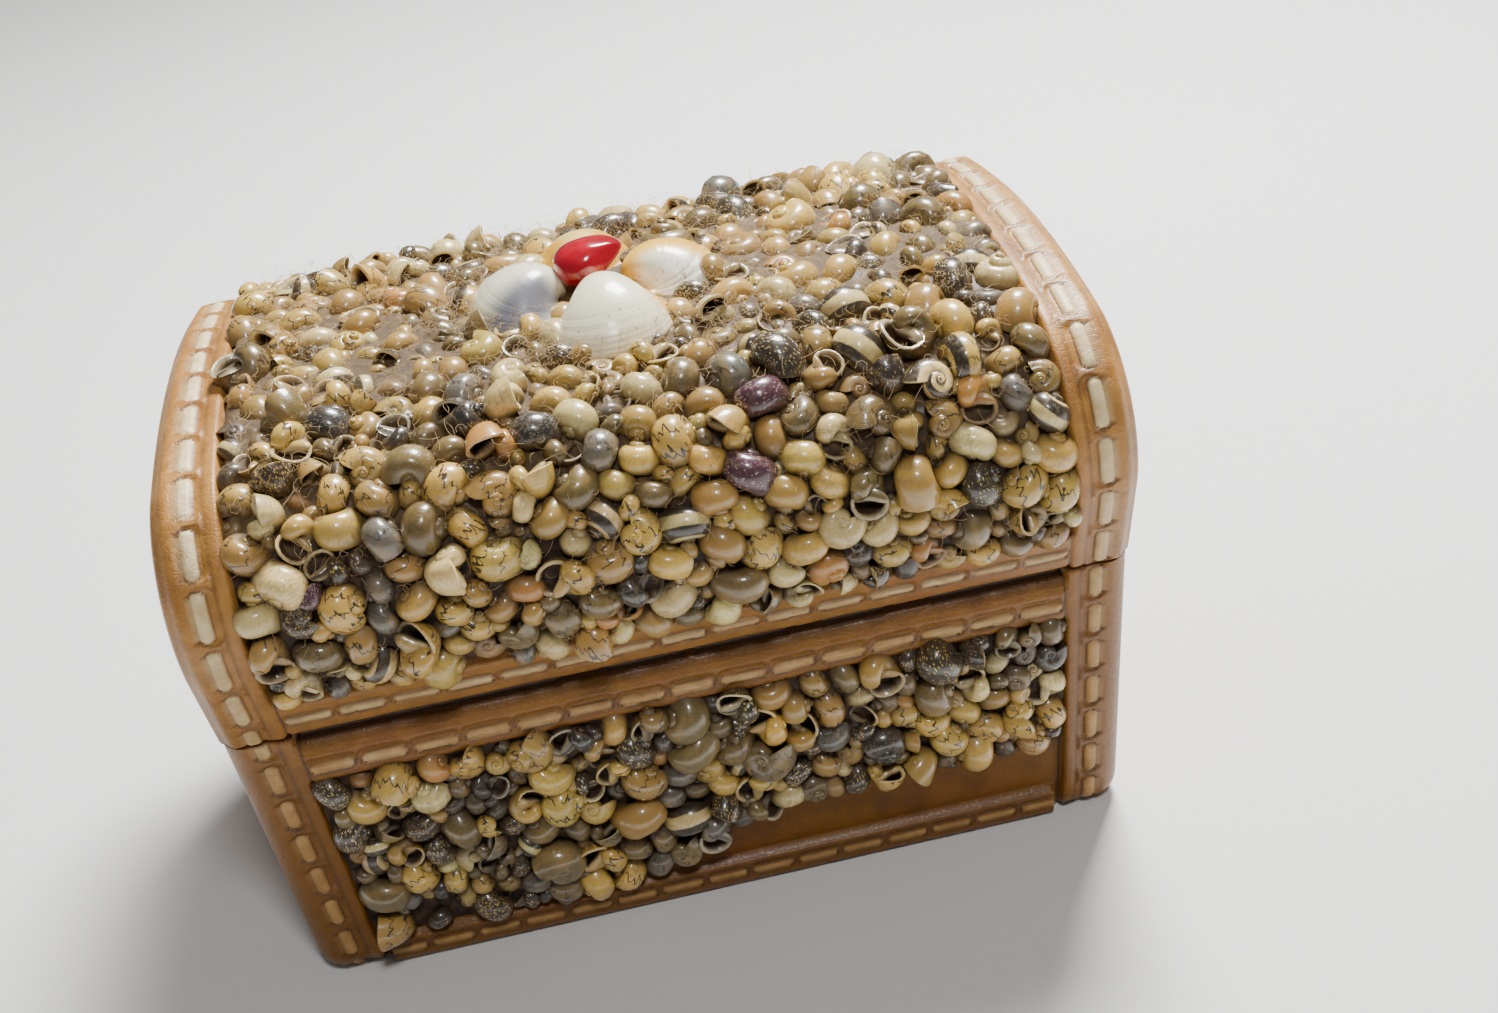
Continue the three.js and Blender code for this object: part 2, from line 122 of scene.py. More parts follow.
def make_camera():
    """The photograph's view: nearly frontal, a third of the way up, tipped to the left."""
    azimuth, elevation, roll = math.radians(-5.36), math.radians(31.36), math.radians(-9.1)
    distance, target = 0.2798, Vector((0.01535, 0.0, 0.04317))
    focal_in_widths = 1780 / PHOTO_SIZE[0]
    back = Vector((math.sin(azimuth) * math.cos(elevation),
                   -math.cos(azimuth) * math.cos(elevation), math.sin(elevation)))
    right = Vector((math.cos(azimuth), math.sin(azimuth), 0))
    up = back.cross(right)
    turned_right = math.cos(roll) * right + math.sin(roll) * up
    turned_up = math.cos(roll) * up - math.sin(roll) * right
    data = bpy.data.cameras.new("camera")
    data.sensor_width = 36
    data.lens = focal_in_widths * data.sensor_width
    data.clip_start = 0.01
    camera = bpy.data.objects.new("camera", data)
    turn = Matrix((turned_right, turned_up, back)).transposed().to_4x4()
    camera.matrix_world = Matrix.Translation(target + back * distance) @ turn
    bpy.context.scene.collection.objects.link(camera)
    bpy.context.scene.camera = camera


make_camera()

# ---- materials ----


class Nodes:
    """A material's node tree, with short calls for the nodes that these finishes use."""

    def __init__(self, name):
        self.material = bpy.data.materials.new(name)
        self.material.use_nodes = True
        self.tree = self.material.node_tree
        self.surface = self.tree.nodes["Principled BSDF"]
        self.where = self.add("TexCoord").outputs["Object"]

    def add(self, kind, inputs=(), **settings):
        node = self.tree.nodes.new("ShaderNode" + kind)
        for key, value in settings.items():
            setattr(node, key, value)
        for key, value in dict(inputs).items():
            self.put(node.inputs[key], value)
        return node

    def put(self, socket, value):
        if isinstance(value, bpy.types.NodeSocket):
            self.tree.links.new(value, socket)
        elif socket.type == "RGBA":
            socket.default_value = (*value, 1.0)
        else:
            socket.default_value = value

    def attribute(self, name, output="Fac"):
        return self.add("Attribute", attribute_name=name).outputs[output]

    def math(self, operation, *inputs):
        return self.add("Math", enumerate(inputs), operation=operation).outputs[0]

    def times(self, a, b):
        return self.math("MULTIPLY", a, b)

    def times_add(self, a, b, c):
        return self.math("MULTIPLY_ADD", a, b, c)

    def mix(self, amount, a, b):
        return self.add("Mix", {0: amount, 6: a, 7: b}, data_type="RGBA").outputs[2]

    def patch(self, base, tint, value, low, high, most=1.0):
        """Lays tint over base where value goes from low to high."""
        return self.mix(self.ramp(value, low, high, 0.0, most), base, tint)

    def mix_value(self, amount, a, b):
        return self.add("Mix", {0: amount, 2: a, 3: b}, data_type="FLOAT").outputs[0]

    def height(self):
        return self.add("SeparateXYZ", {0: self.where}).outputs[2]

    def ramp(self, value, low, high, to_low=0.0, to_high=1.0):
        inputs = {0: value, 1: low, 2: high, 3: to_low, 4: to_high}
        return self.add("MapRange", inputs, interpolation_type="SMOOTHSTEP").outputs[0]

    def noise(self, where, scale, detail):
        return self.add("TexNoise", {"Vector": where, "Scale": scale, "Detail": detail}).outputs[0]

    def joined(self, *parts):
        return self.add("CombineXYZ", enumerate(parts)).outputs[0]

    def bump(self, height, strength, distance, normal=None):
        inputs = {"Height": height, "Strength": strength, "Distance": distance}
        if normal is not None:
            inputs["Normal"] = normal
        return self.add("Bump", inputs).outputs[0]

    def finish(self, soft=None, **values):
        """Fills the shader; soft is the weight and the reach in mm of light under the surface."""
        if soft:
            reach = tuple(part * MM for part in soft[1])
            values.update(Subsurface_Weight=soft[0], Subsurface_Radius=reach, Subsurface_Scale=1.0)
        for key, value in values.items():
            self.put(self.surface.inputs[key.replace("_", " ")], value)
        return self.material


# below these heights the shells' low parts and the glue bed turn near black, painted shade between the shells
FELT = 68 * MM, 80 * MM  # between these heights the lid's top turns felt-like


def plastic_material():
    """Caramel plastic with a leather grain: light brown above, amber low down, partly painted shade; dusty
    stitches.
    """
    n = Nodes("moulded_plastic")
    blotch = n.noise(n.where, 90.0, 4.0)
    lift = n.times_add(blotch, 18 * MM, n.height())
    # From amber low down to light brown up high: partly the plastic's own tones, partly painted shade on the
    # lower body; the stitches darken with it.
    height_tone_and_shade = n.ramp(lift, 36 * MM, 86 * MM)
    base = n.mix(height_tone_and_shade, (0.19, 0.074, 0.0005), (0.50, 0.24, 0.055))
    base = n.patch(base, (0.20, 0.065, 0.012), blotch, 0.42, 0.75, 0.55)
    mottle = n.noise(n.where, 420.0, 3.0)
    base = n.patch(base, n.mix(0.6, base, (0.12, 0.04, 0.01)), mottle, 0.38, 0.66, 0.45)
    stitch = n.attribute("stitch")
    worn = n.ramp(n.noise(n.where, 500.0, 2.0), 0.3, 0.7, 0.6, 1.0)
    thread = n.mix(height_tone_and_shade, (0.44, 0.25, 0.08), (0.84, 0.68, 0.38))
    base = n.mix(n.times(stitch, worn), base, thread)
    base = n.mix(n.times(n.attribute("shade"), 0.85), base, (0.030, 0.010, 0.003))
    cells = n.add("TexVoronoi", {"Vector": n.where, "Scale": 1100.0, "Randomness": 1.0},
                  feature="DISTANCE_TO_EDGE").outputs[0]
    grain = n.ramp(cells, 0.0, 0.14)
    fine = n.noise(n.where, 2600.0, 2.0)
    bumps = n.bump(mottle, 0.5, 0.25 * MM)
    bumps = n.bump(grain, 0.4, 0.07 * MM, bumps)
    bumps = n.bump(fine, 0.25, 0.04 * MM, bumps)
    rough = n.mix_value(n.ramp(fine, 0.3, 0.7), 0.36, 0.5)
    return n.finish(Base_Color=base, Roughness=rough, Normal=bumps, soft=(0.12, (2.0, 0.7, 0.2)),
                    Coat_Weight=0.12, Coat_Roughness=0.28, Specular_IOR_Level=0.4)

# ---- the faces of the box, as functions of place along, place up and depth ----


def lerp(a, b, t):
    return a + (b - a) * t


BODY_SHY = 0.5 * MM  # the body's ends stand a little inside the lid's


def body_half(z):
    t = z / BODY_HEIGHT
    return lerp(FOOT_HALF_X, TOP_HALF_X, t) - BODY_SHY, lerp(FOOT_HALF_Y, TOP_HALF_Y, t)


class Arch:
    """The lid's section: length s runs from the front edge over the top to the back edge."""

    side_top = (-TOP_HALF_Y - LID_SIDE * math.sin(LID_LEAN), LID_Z + LID_SIDE * math.cos(LID_LEAN))
    shoulder = (side_top[0] + SHOULDER_R * math.cos(LID_LEAN), side_top[1] + SHOULDER_R * math.sin(LID_LEAN))
    shoulder_length = SHOULDER_R * (math.pi / 2 - CROWN_HALF + LID_LEAN)
    crown_r = -(shoulder[0] - SHOULDER_R * math.sin(CROWN_HALF)) / math.sin(CROWN_HALF)
    crown_z = shoulder[1] + (SHOULDER_R - crown_r) * math.cos(CROWN_HALF)
    half = LID_SIDE + shoulder_length + crown_r * CROWN_HALF
    length = 2 * half
    top = crown_z + crown_r

    @classmethod
    def at(cls, s):
        """Arrays y, z and the outward direction ny, nz at lengths s."""
        s = np.asarray(s, dtype=float)
        back = s > cls.half
        t = np.where(back, cls.length - s, s)
        on_side = t < LID_SIDE
        on_shoulder = ~on_side & (t < LID_SIDE + cls.shoulder_length)
        crown_angle = math.pi / 2 - CROWN_HALF + (t - LID_SIDE - cls.shoulder_length) / cls.crown_r
        angle = np.where(on_shoulder, -LID_LEAN + (t - LID_SIDE) / SHOULDER_R, crown_angle)
        angle = np.where(on_side, -LID_LEAN, angle)
        ny, nz = -np.cos(angle), np.sin(angle)
        y = np.where(on_shoulder, cls.shoulder[0] + SHOULDER_R * ny, cls.crown_r * ny)
        z = np.where(on_shoulder, cls.shoulder[1] + SHOULDER_R * nz, cls.crown_z + cls.crown_r * nz)
        y = np.where(on_side, -TOP_HALF_Y + t * nz, y)
        z = np.where(on_side, LID_Z - t * ny, z)
        sign = np.where(back, -1.0, 1.0)
        return sign * y, z, sign * ny, nz


def lid_point(u, s, depth):
    """Points of the lid's arch; u is x as at the split."""
    y, z, ny, nz = Arch.at(s)
    shrink = (TOP_HALF_X - LID_END_LEAN * (z - LID_Z) / (Arch.top - LID_Z)) / TOP_HALF_X
    return np.stack(np.broadcast_arrays(u * shrink, y - ny * depth, z - nz * depth), axis=-1)

# ---- relief of straps and lips ----

STRAP_PILL = dict(half_wide=1.1 * MM, pocket_half=1.75 * MM, shift=0.65 * MM, space=0.6 * MM)
BODY_PILL = dict(half_wide=0.85 * MM, pocket_half=1.35 * MM, shift=0.65 * MM, space=0.45 * MM)
LID_PILL = dict(half_wide=0.75 * MM, pocket_half=1.15 * MM, shift=-0.5 * MM, space=0.45 * MM)
PILL_DEEP = 0.55 * MM


def pill_distance(along, across, half_long, half_wide):
    """Distance outside a stitch's rounded outline, negative inside."""
    round_end = 0.9 * half_wide
    reach = np.maximum(np.abs(along) - (half_long - round_end), 0)
    side = np.maximum(np.abs(across) - (half_wide - round_end), 0)
    outside = np.hypot(reach, side) - round_end
    inside = np.maximum(np.abs(along) - half_long, np.abs(across) - half_wide)
    return np.where(reach + side > 0, outside, inside)


def stitch_row(along, across, first, pitch, pill):
    """Depth, stitch mask and shade of a row of raised stitches, each at one side of a sunk pocket."""
    offset = along - (first + np.round((along - first) / pitch) * pitch)
    half_wide = pill["half_wide"]
    half_long = pitch / 2 - pill["space"]
    outside = pill_distance(offset, across, half_long, half_wide)
    pocket = pill_distance(offset, across + pill["shift"], half_long + 0.35 * MM, pill["pocket_half"])
    inside = np.clip(-outside / half_wide, 0, 1)
    crown = (1 - (1 - inside) ** 2) ** 0.7
    floor = PILL_DEEP * (1 - smoothstep(pocket, -0.9 * MM, 0.1 * MM))
    depth = np.where(outside < 0, PILL_DEEP - (PILL_DEEP + 0.05 * MM) * crown, floor)
    mask = smoothstep(-outside, 0.05 * MM, 0.25 * MM)
    outline = hump(outside, 0, 0.15 * MM) + hump(pocket, 0, 0.16 * MM) * (outside > 0)
    return depth, mask, np.clip(0.62 * outline, 0, 1)


STITCH_IN = STITCH_X - STRAP_INNER + 0.55 * MM
INNER_STRIP, GROOVE_AT, RIDGE_AT, VALLEY_AT = 1.9 * MM, 2.15 * MM, 7.2 * MM, 8.6 * MM


def strap_relief(t, along, first, pitch):
    """A strap's depth, stitch mask and shade; t is the place across it, from its inner edge outwards."""
    depth, mask, shade = stitch_row(along, t - STITCH_IN, first, pitch, STRAP_PILL)
    inner_strip = 0.14 * MM * (1 - np.sin(np.clip(t / INNER_STRIP, 0, 1) * math.pi))
    groove = 0.30 * MM * hump(t, GROOVE_AT, 0.28 * MM)
    ridge = -0.26 * MM * hump(t, RIDGE_AT, 0.6 * MM)
    valley = 0.35 * MM * hump(t, VALLEY_AT, 0.4 * MM)
    off_stitch = mask <= 0
    depth = np.maximum(depth, groove * off_stitch) + np.where(t < INNER_STRIP, inner_strip, 0)
    shade = np.maximum(shade, 0.55 * hump(t, GROOVE_AT, 0.25 * MM) * off_stitch)
    return depth + ridge + valley, mask, shade


def lip_relief(u, w, edge, row, end, bevel, pill):
    """A lip's depth, stitch mask and shade; w runs from the split, and a bevel leads to the lip's edge."""
    depth, mask, shade = stitch_row(u, w - row, LIP_PITCH / 2 - STRAP_INNER, LIP_PITCH, pill)
    into = edge - w
    slope = bevel["deep"] * np.clip(into / bevel["wide"], 0, 1)
    depth = depth + slope + 0.25 * MM * hump(w, edge, 0.35 * MM)
    gone = into > bevel["wide"]
    depth = np.where(gone, SLOT_DEEP, depth) + 0.45 * MM * smoothstep(w, end - 0.7 * MM, end)
    mask = np.where(into > 0, 0, mask)
    shade = np.where(into > 0, 0.15 + 0.5 * smoothstep(into, 0, bevel["wide"]), shade)
    return depth, mask, np.where(gone, 1.0, shade)


BODY_LIP = dict(edge=3.0 * MM, row=5.9 * MM, end=8.3 * MM, pill=BODY_PILL,
                bevel=dict(deep=1.3 * MM, wide=1.7 * MM))
LID_LIP = dict(edge=0.6 * MM, row=3.6 * MM, end=7.6 * MM, pill=LID_PILL,
               bevel=dict(deep=0.1 * MM, wide=0.2 * MM))
FAR_LIP = dict(edge=0.0, row=FOOT_LIP / 2, end=FOOT_LIP, pill=LID_PILL, bevel=LID_LIP["bevel"])
FOOT_NOTCH = 1.4 * MM
SEAM_IN = 0.1 * MM
FIELD_LOW, FIELD_HIGH = LID_LIP["end"], Arch.length - LID_LIP["end"]  # the lid's panel, along the arch
PANEL_LOW, PANEL_HIGH = FOOT_LIP, BODY_HEIGHT - BODY_LIP["end"]  # the body's panels, above the floor


def face_relief(u, w, first, pitch, lip, far_edge):
    """Depth, stitch mask and shade of a strapped face; w is the place up it, from the split to far_edge."""
    t = np.abs(u) - STRAP_INNER
    strap, strap_mask, strap_shade = strap_relief(np.maximum(t, 0), w, first, pitch)
    near = w + 0.13 * MM * soft_noise(u, w * 0, 11, 9 * MM)
    far = far_edge - w
    depth = np.full(np.shape(u * w), PANEL_SINK)
    mask, shade = np.zeros_like(depth), np.zeros_like(depth)
    on_far_lip = (far >= 0) & (far <= FOOT_LIP) & (t < -FOOT_NOTCH)
    rows = [(near <= lip["end"], lip_relief(u, near, **lip)), (on_far_lip, lip_relief(u, far, **FAR_LIP))]
    for inside, values in rows:
        depth, mask, shade = (np.where(inside, new, old) for new, old in zip(values, (depth, mask, shade)))
    seam = 0.3 * MM * hump(t, -SEAM_IN, 0.22 * MM)
    depth = lerp(depth + seam, strap, smoothstep(t, -0.12 * MM, 0.3 * MM))
    mask = np.where(t > 0, strap_mask, mask * (t < -0.2 * MM))
    shade = np.where(t > 0, strap_shade, np.maximum(shade, hump(t, -SEAM_IN, 0.3 * MM) * 0.8))
    split = 0.35 * MM * (1 - smoothstep(w, 0, 0.4 * MM))
    shade = np.maximum(shade, 1 - smoothstep(w, 0.1 * MM, 0.3 * MM))
    return depth + split, mask, shade


def places(stops, steps):
    """Places along a line through stops, with about the given step between each two."""
    parts = [np.linspace(a, b, max(int(round((b - a) / step)), 1), endpoint=False)
             for a, b, step in zip(stops, stops[1:], steps)]
    return np.concatenate(parts + [[stops[-1]]])


FINE, MEDIUM = 0.3 * MM, 0.42 * MM
FRONT_HALF = TOP_HALF_X - CORNER_R
FRONT_US = places([-FRONT_HALF, -STRAP_INNER + MM, STRAP_INNER - MM, FRONT_HALF], [FINE, MEDIUM, FINE])
ROW_STEP = 0.31 * MM


def grid_quads(rows, columns, keep=None, closed=False):
    """Quads of a grid of points stored row by row."""
    last = columns if closed else columns - 1
    i, j = np.meshgrid(np.arange(rows - 1), np.arange(last), indexing="ij")
    across = (j + 1) % columns
    quads = np.stack([i * columns + j, i * columns + across, (i + 1) * columns + across,
                      (i + 1) * columns + j], axis=-1)
    return (quads if keep is None else quads[keep]).reshape(-1, 4)


class Gathered:
    """Gathers blocks of points, quads and values for each point into one object."""

    def __init__(self, name):
        self.name, self.points, self.quads, self.values, self.count = name, [], [], {}, 0

    def gather(self, points, quads, **values):
        self.points.append(points)
        self.quads.append(quads + self.count)
        self.count += len(points)
        for name, value in values.items():
            self.values.setdefault(name, []).append(value)

    def build(self):
        made = quad_mesh(self.name, np.concatenate(self.points), np.concatenate(self.quads))
        for name, parts in self.values.items():
            set_values(made, name, np.concatenate(parts))
        return made


class Patchwork(Gathered):
    """A moulding, made of grids of points."""

    def add(self, points, keep=None, closed=False, flip=False, mask=0.0, shade=0.0):
        size = points.shape[:2]
        quads = grid_quads(*size, keep, closed)
        stitch, dark = (np.broadcast_to(value, size).ravel() for value in (mask, shade))
        self.gather(points.reshape(-1, 3), quads[:, ::-1] if flip else quads, stitch=stitch, shade=dark)


PANEL_MARGIN = 0.8 * MM


def panel_cells(us, ws, low, high):
    """Which grid cells are not in the sunk panel, away from its walls."""
    u = np.abs(us[1:] + us[:-1])[None, :] / 2
    w = (ws[1:] + ws[:-1])[:, None] / 2
    across = u < STRAP_INNER - PANEL_MARGIN
    return ~(across & (w > low + PANEL_MARGIN) & (w < high - PANEL_MARGIN))


def add_panel(work, face, low, high):
    """A coarse floor for the sunk panel, just under the edge of the fine grid round it."""
    margin = 0.3 * MM
    us = np.linspace(-STRAP_INNER + margin, STRAP_INNER - margin, 23)
    ws = np.linspace(low + margin, high - margin, 25)
    u, w = np.meshgrid(us, ws)
    work.add(face(u, w, PANEL_SINK + 0.02 * MM))

# ---- body moulding ----


def body_loop():
    """Columns round the body: kind of face, place along it, and the outward direction."""
    corner = np.linspace(0, math.pi / 2, 9)[1:-1]
    ends = np.linspace(-(TOP_HALF_Y - CORNER_R), TOP_HALF_Y - CORNER_R, 25)
    columns = []
    for quarter in range(4):
        along = FRONT_US if quarter % 2 == 0 else ends
        turn = quarter * math.pi / 2
        columns += [(quarter, a, turn) for a in along]
        columns += [(quarter + 0.5, angle, turn + angle) for angle in corner]
    return columns


def body_point(column, z, depth):
    """A point of the body's outside: the front is quarter 0, then right, back and left."""
    quarter, place, turn = column
    hx, hy = body_half(z)
    cx, cy = hx - CORNER_R, hy - CORNER_R
    reach = CORNER_R - depth
    nx, ny = math.sin(turn), -math.cos(turn)
    whole = int(quarter)
    corner_x = (cx, cx, -cx, -cx)[whole]
    corner_y = (-cy, cy, cy, -cy)[whole]
    if quarter == whole:
        scale = place / FRONT_HALF * cx if whole % 2 == 0 else place / (TOP_HALF_Y - CORNER_R) * cy
        corner_x = (scale, cx, -scale, -cx)[whole]
        corner_y = (-cy, scale, cy, -scale)[whole]
    return corner_x + nx * reach, corner_y + ny * reach, z


def foot_inset(z, on_strap):
    """The rounded foot, rounder under the straps."""
    radius = lerp(1.3 * MM, 3.8 * MM, on_strap)
    t = np.clip((radius - z) / radius, 0, 1)
    return radius * (1 - np.sqrt(np.clip(1 - t * t, 0, 1)))


def end_panel(place, zs):
    """How much the end's sunk panel shows there, from 0 to 1."""
    edge = 0.3 * MM
    sunk = smoothstep(TOP_HALF_Y - END_FRAME - abs(place), -0.5 * MM, 0.5 * MM)
    sunk = sunk * smoothstep(zs, PANEL_LOW - edge, PANEL_LOW + edge)
    return sunk * smoothstep(-zs, -PANEL_HIGH - edge, -PANEL_HIGH + edge)


def body_relief(column, zs):
    """Depth, stitch mask and shade up one column of the body's outside."""
    quarter, place, _ = column
    between_straps = quarter in (0, 2) and abs(place) < STRAP_INNER
    inset = foot_inset(zs, 0.0 if between_straps else 1.0)
    if quarter in (0, 2):
        left = place < 0 if quarter == 0 else place > 0
        first = 0 if left else BODY_STRAP_PITCH - FIRST_STITCH_RIGHT
        along, down = np.full(len(zs), place), BODY_HEIGHT - zs
        depth, mask, shade = face_relief(along, down, first, BODY_STRAP_PITCH, BODY_LIP, BODY_HEIGHT)
        return inset + depth, mask, shade
    if quarter in (1, 3):
        inset = inset + PANEL_SINK * end_panel(place, zs)
    return inset, np.zeros(len(zs)), np.zeros(len(zs))


def body_inside_rings(columns):
    """Rings from the split up over the locating rim and down the wall to the tray's floor."""
    rim_top, soft, low_curve = BODY_HEIGHT + RIM_HIGH, 0.3 * MM, 0.5 * MM
    section = [(BODY_HEIGHT, RIM_INSET), (rim_top - soft, RIM_INSET), (rim_top, RIM_INSET + soft),
               (rim_top, WALL - soft), (rim_top - soft, WALL), (FLOOR + low_curve, WALL),
               (FLOOR, WALL + low_curve)]
    return [np.array([body_point(column, z, depth) for column in columns]) for z, depth in section]


def body_face(sign):
    """The body's front (1) or back (-1) as a function of place along, height and depth."""

    def face(u, z, depth):
        hx, hy = body_half(z)
        return np.stack([sign * u / FRONT_HALF * (hx - CORNER_R), -sign * (hy - depth), z], axis=-1)
    return face


def make_body():
    zs = np.concatenate([np.array([0, 0.05, 0.15, 0.35, 0.65]) * MM, places([MM, BODY_HEIGHT], [ROW_STEP])])
    columns = body_loop()
    relief = [body_relief(column, zs) for column in columns]
    depth, mask, shade = (np.stack(part, axis=1) for part in zip(*relief))
    points = np.array([[body_point(column, z, deep) for column, deep in zip(columns, row)]
                       for z, row in zip(zs, depth)])
    middle = (zs[1:] + zs[:-1]) / 2
    in_panel = (middle > PANEL_LOW + PANEL_MARGIN) & (middle < PANEL_HIGH - PANEL_MARGIN)
    over_panel = np.array([quarter in (0, 2) and abs(place) < STRAP_INNER - 1.5 * PANEL_MARGIN
                           for quarter, place, _ in columns])
    work = Patchwork("body_moulding")
    work.add(points, keep=~(in_panel[:, None] & over_panel[None, :]), closed=True, mask=mask, shade=shade)
    rings = [points[-1]] + body_inside_rings(columns)
    work.add(np.stack(rings), closed=True)
    for loop, flip in ((rings[-1], False), (points[0], True)):
        centre = np.repeat(loop.mean(axis=0)[None, :], len(columns), axis=0)
        work.add(np.stack([loop, centre]), closed=True, flip=flip)
    for sign in (1, -1):
        add_panel(work, body_face(sign), PANEL_LOW, PANEL_HIGH)
    made = work.build()
    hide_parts("body")
    return made

# ---- lid moulding ----


def lid_columns():
    """u and inset of the arch's columns, from the left end over the rounded edges to the right end."""
    angle = np.linspace(math.pi / 2, 0, 9)[:-1]
    flank_u = TOP_HALF_X - CORNER_R * (1 - np.sin(angle))
    flank_inset = CORNER_R * (1 - np.cos(angle))
    us = np.concatenate([-flank_u, FRONT_US, flank_u[::-1]])
    insets = np.concatenate([flank_inset, np.zeros(len(FRONT_US)), flank_inset[::-1]])
    return us, insets


def lid_relief(u, s):
    """Depth and masks anywhere on the lid."""
    from_front = s < Arch.half
    near = np.where(from_front, s, Arch.length - s)
    first = np.where(u < 0, 0, FIRST_STITCH_RIGHT)
    first = np.where(from_front, first, np.mod(Arch.length - first, LID_STRAP_PITCH))
    return face_relief(u, near, first, LID_STRAP_PITCH, LID_LIP, Arch.length)


def flat_foot(points, s):
    """The first and last rows of the lid's arch lie in the plane of the split."""
    points[..., 2] = np.where((s <= 0) | (s >= Arch.length), LID_Z, points[..., 2])
    return points


def end_ring(place, steps, inset, foot):
    """A closed outline on the lid's end: the arch, inset, and a straight foot."""
    arch = lid_point(np.full(len(steps), place), steps, inset)
    arch[:, 2] = np.maximum(arch[:, 2], foot)
    arch[[0, -1], 2] = foot
    return np.concatenate([arch, np.linspace(arch[-1], arch[0], 24)[1:-1]])


def closing_fan(ring):
    """Rows from a flat ring to its middle; the near rows keep the flat part's shading flat."""
    centre = np.repeat(ring.mean(axis=0)[None, :], len(ring), axis=0)
    return np.stack([lerp(ring, centre, t) for t in (0.0, 0.02, 0.04, 1.0)])


def add_lid_end(work, sign, steps):
    """The flat end of the lid, with its sunk panel."""
    sections = [(TOP_HALF_X, CORNER_R), (TOP_HALF_X, END_FRAME - 0.3 * MM),
                (TOP_HALF_X - 0.3 * MM, END_FRAME), (TOP_HALF_X - PANEL_SINK, END_FRAME + 0.2 * MM)]
    feet = [LID_Z] + 3 * [LID_Z + LID_LIP["end"]]
    rings = [end_ring(sign * place, steps, inset, foot) for (place, inset), foot in zip(sections, feet)]
    work.add(np.stack(rings), closed=True, flip=sign > 0)
    work.add(closing_fan(rings[-1]), closed=True, flip=sign > 0)


INSIDE_X, INSIDE_Y = TOP_HALF_X - WALL, TOP_HALF_Y - WALL


def add_lid_inside(work, steps):
    u, s = np.meshgrid([-INSIDE_X, INSIDE_X], steps)
    work.add(flat_foot(lid_point(u, s, WALL), s), flip=True)
    for sign in (-1, 1):
        work.add(closing_fan(end_ring(sign * INSIDE_X, steps, WALL, LID_Z)), closed=True, flip=sign < 0)


def add_lid_rim(work, front_edge, back_edge):
    """The flat underside of the lid's wall, in the plane of the split."""
    for edge, flip in ((front_edge, True), (back_edge, False)):
        inner = edge.copy()
        inner[:, 1] = np.sign(inner[:, 1]) * INSIDE_Y
        inner[:, 0] = np.clip(inner[:, 0], -INSIDE_X, INSIDE_X)
        work.add(np.stack([edge, inner]), flip=flip)
    for sign in (-1, 1):
        strip = [[(sign * x, y, LID_Z) for y in (-INSIDE_Y, INSIDE_Y)] for x in (TOP_HALF_X, INSIDE_X)]
        work.add(np.array(strip), flip=sign > 0)


def make_lid():
    us, insets = lid_columns()
    ss = places([0, Arch.length], [ROW_STEP])
    u, s = np.meshgrid(us, ss)
    depth, mask, shade = lid_relief(u, s)
    points = flat_foot(lid_point(u, s, depth + insets[None, :]), s)
    work = Patchwork("lid_moulding")
    work.add(points, keep=panel_cells(us, ss, FIELD_LOW, FIELD_HIGH), mask=mask, shade=shade)
    add_panel(work, lid_point, FIELD_LOW, FIELD_HIGH)
    coarse = places([0, Arch.length], [3 * MM])
    for sign in (-1, 1):
        add_lid_end(work, sign, coarse)
    add_lid_inside(work, coarse)
    add_lid_rim(work, points[0], points[-1])
    made = work.build()
    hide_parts("lid")
    return made


plastic = plastic_material()
for moulding in (make_body(), make_lid()):
    moulding.data.materials.append(plastic)
    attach(moulding, "root")

# ---- snail shells ----


def coil_section(whorl, rise, tall, wide, lean, shoulder, narrow):
    """The tube's outline as a function of the turn, the angles round it, its size and a push forward."""
    centre = COIL_CENTRE * wide

    def section(t, angles, scale=1.0, forward=0.0):
        grown = whorl ** t * (1 - narrow * smoothstep(t, -0.42, 0.0))
        c, s = np.cos(angles), np.sin(angles)
        round_off = (np.abs(c) ** shoulder + np.abs(s) ** shoulder) ** (-1 / shoulder)
        radial = grown * (centre + scale * wide * c * round_off)
        axial = grown * (-rise + scale * tall * s * round_off)
        sweep = 2 * math.pi * t + lean * s + forward
        return np.stack([radial * np.cos(sweep), radial * np.sin(sweep), axial], axis=-1)
    return section


def mouth_rows(section, steps, edge):
    """Rows from the lip back into the dark of the mouth."""
    whole = np.radians(np.linspace(-180, 180, steps)[:-1])
    lip = [section(0, whole, edge), section(0, whole, edge - 0.08, 0.05), section(0, whole, edge - 0.2, 0.02)]
    throat = [section(t, whole, scale) for t, scale in ((-0.05, 0.78), (-0.14, 0.72), (-0.26, 0.66))]
    end = np.repeat(section(-0.27, np.array([math.pi]), 0.0), len(whole), axis=0)
    return lip + throat + [end]


def deck_rows(section, centre, wide, deck):
    """Rows of the flat inner lip, which closes part of the mouth."""
    reach = math.acos(-deck)
    rim = section(-0.008, np.linspace(reach, 2 * math.pi - reach, 9), 1.0)
    straight = rim.copy()
    straight[:, 0] = centre - deck * wide + 0.05 * wide * np.sin(np.linspace(0, math.pi, 9) * 3)
    deep = lerp(straight, straight.mean(axis=0), 0.35) + np.array([0, -0.16, 0])
    rows = [lerp(rim, straight, t) + np.array([0, 0.06 * math.sin(math.pi * t), 0]) for t in (0, 0.5, 1)]
    return rows + [deep]


COIL_CENTRE = 0.93
# how far in each row of the mouth and the inner lip lies: a pale lip at the edge, then painted shade
# darkening to near black deeper in
MOUTH_LIP_AND_SHADE = (0.05, 0.1, 0.25, 0.75, 0.95, 1.0, 1.0)
DECK_LIP_AND_SHADE = (0.1, 0.0, 0.1, 0.9)


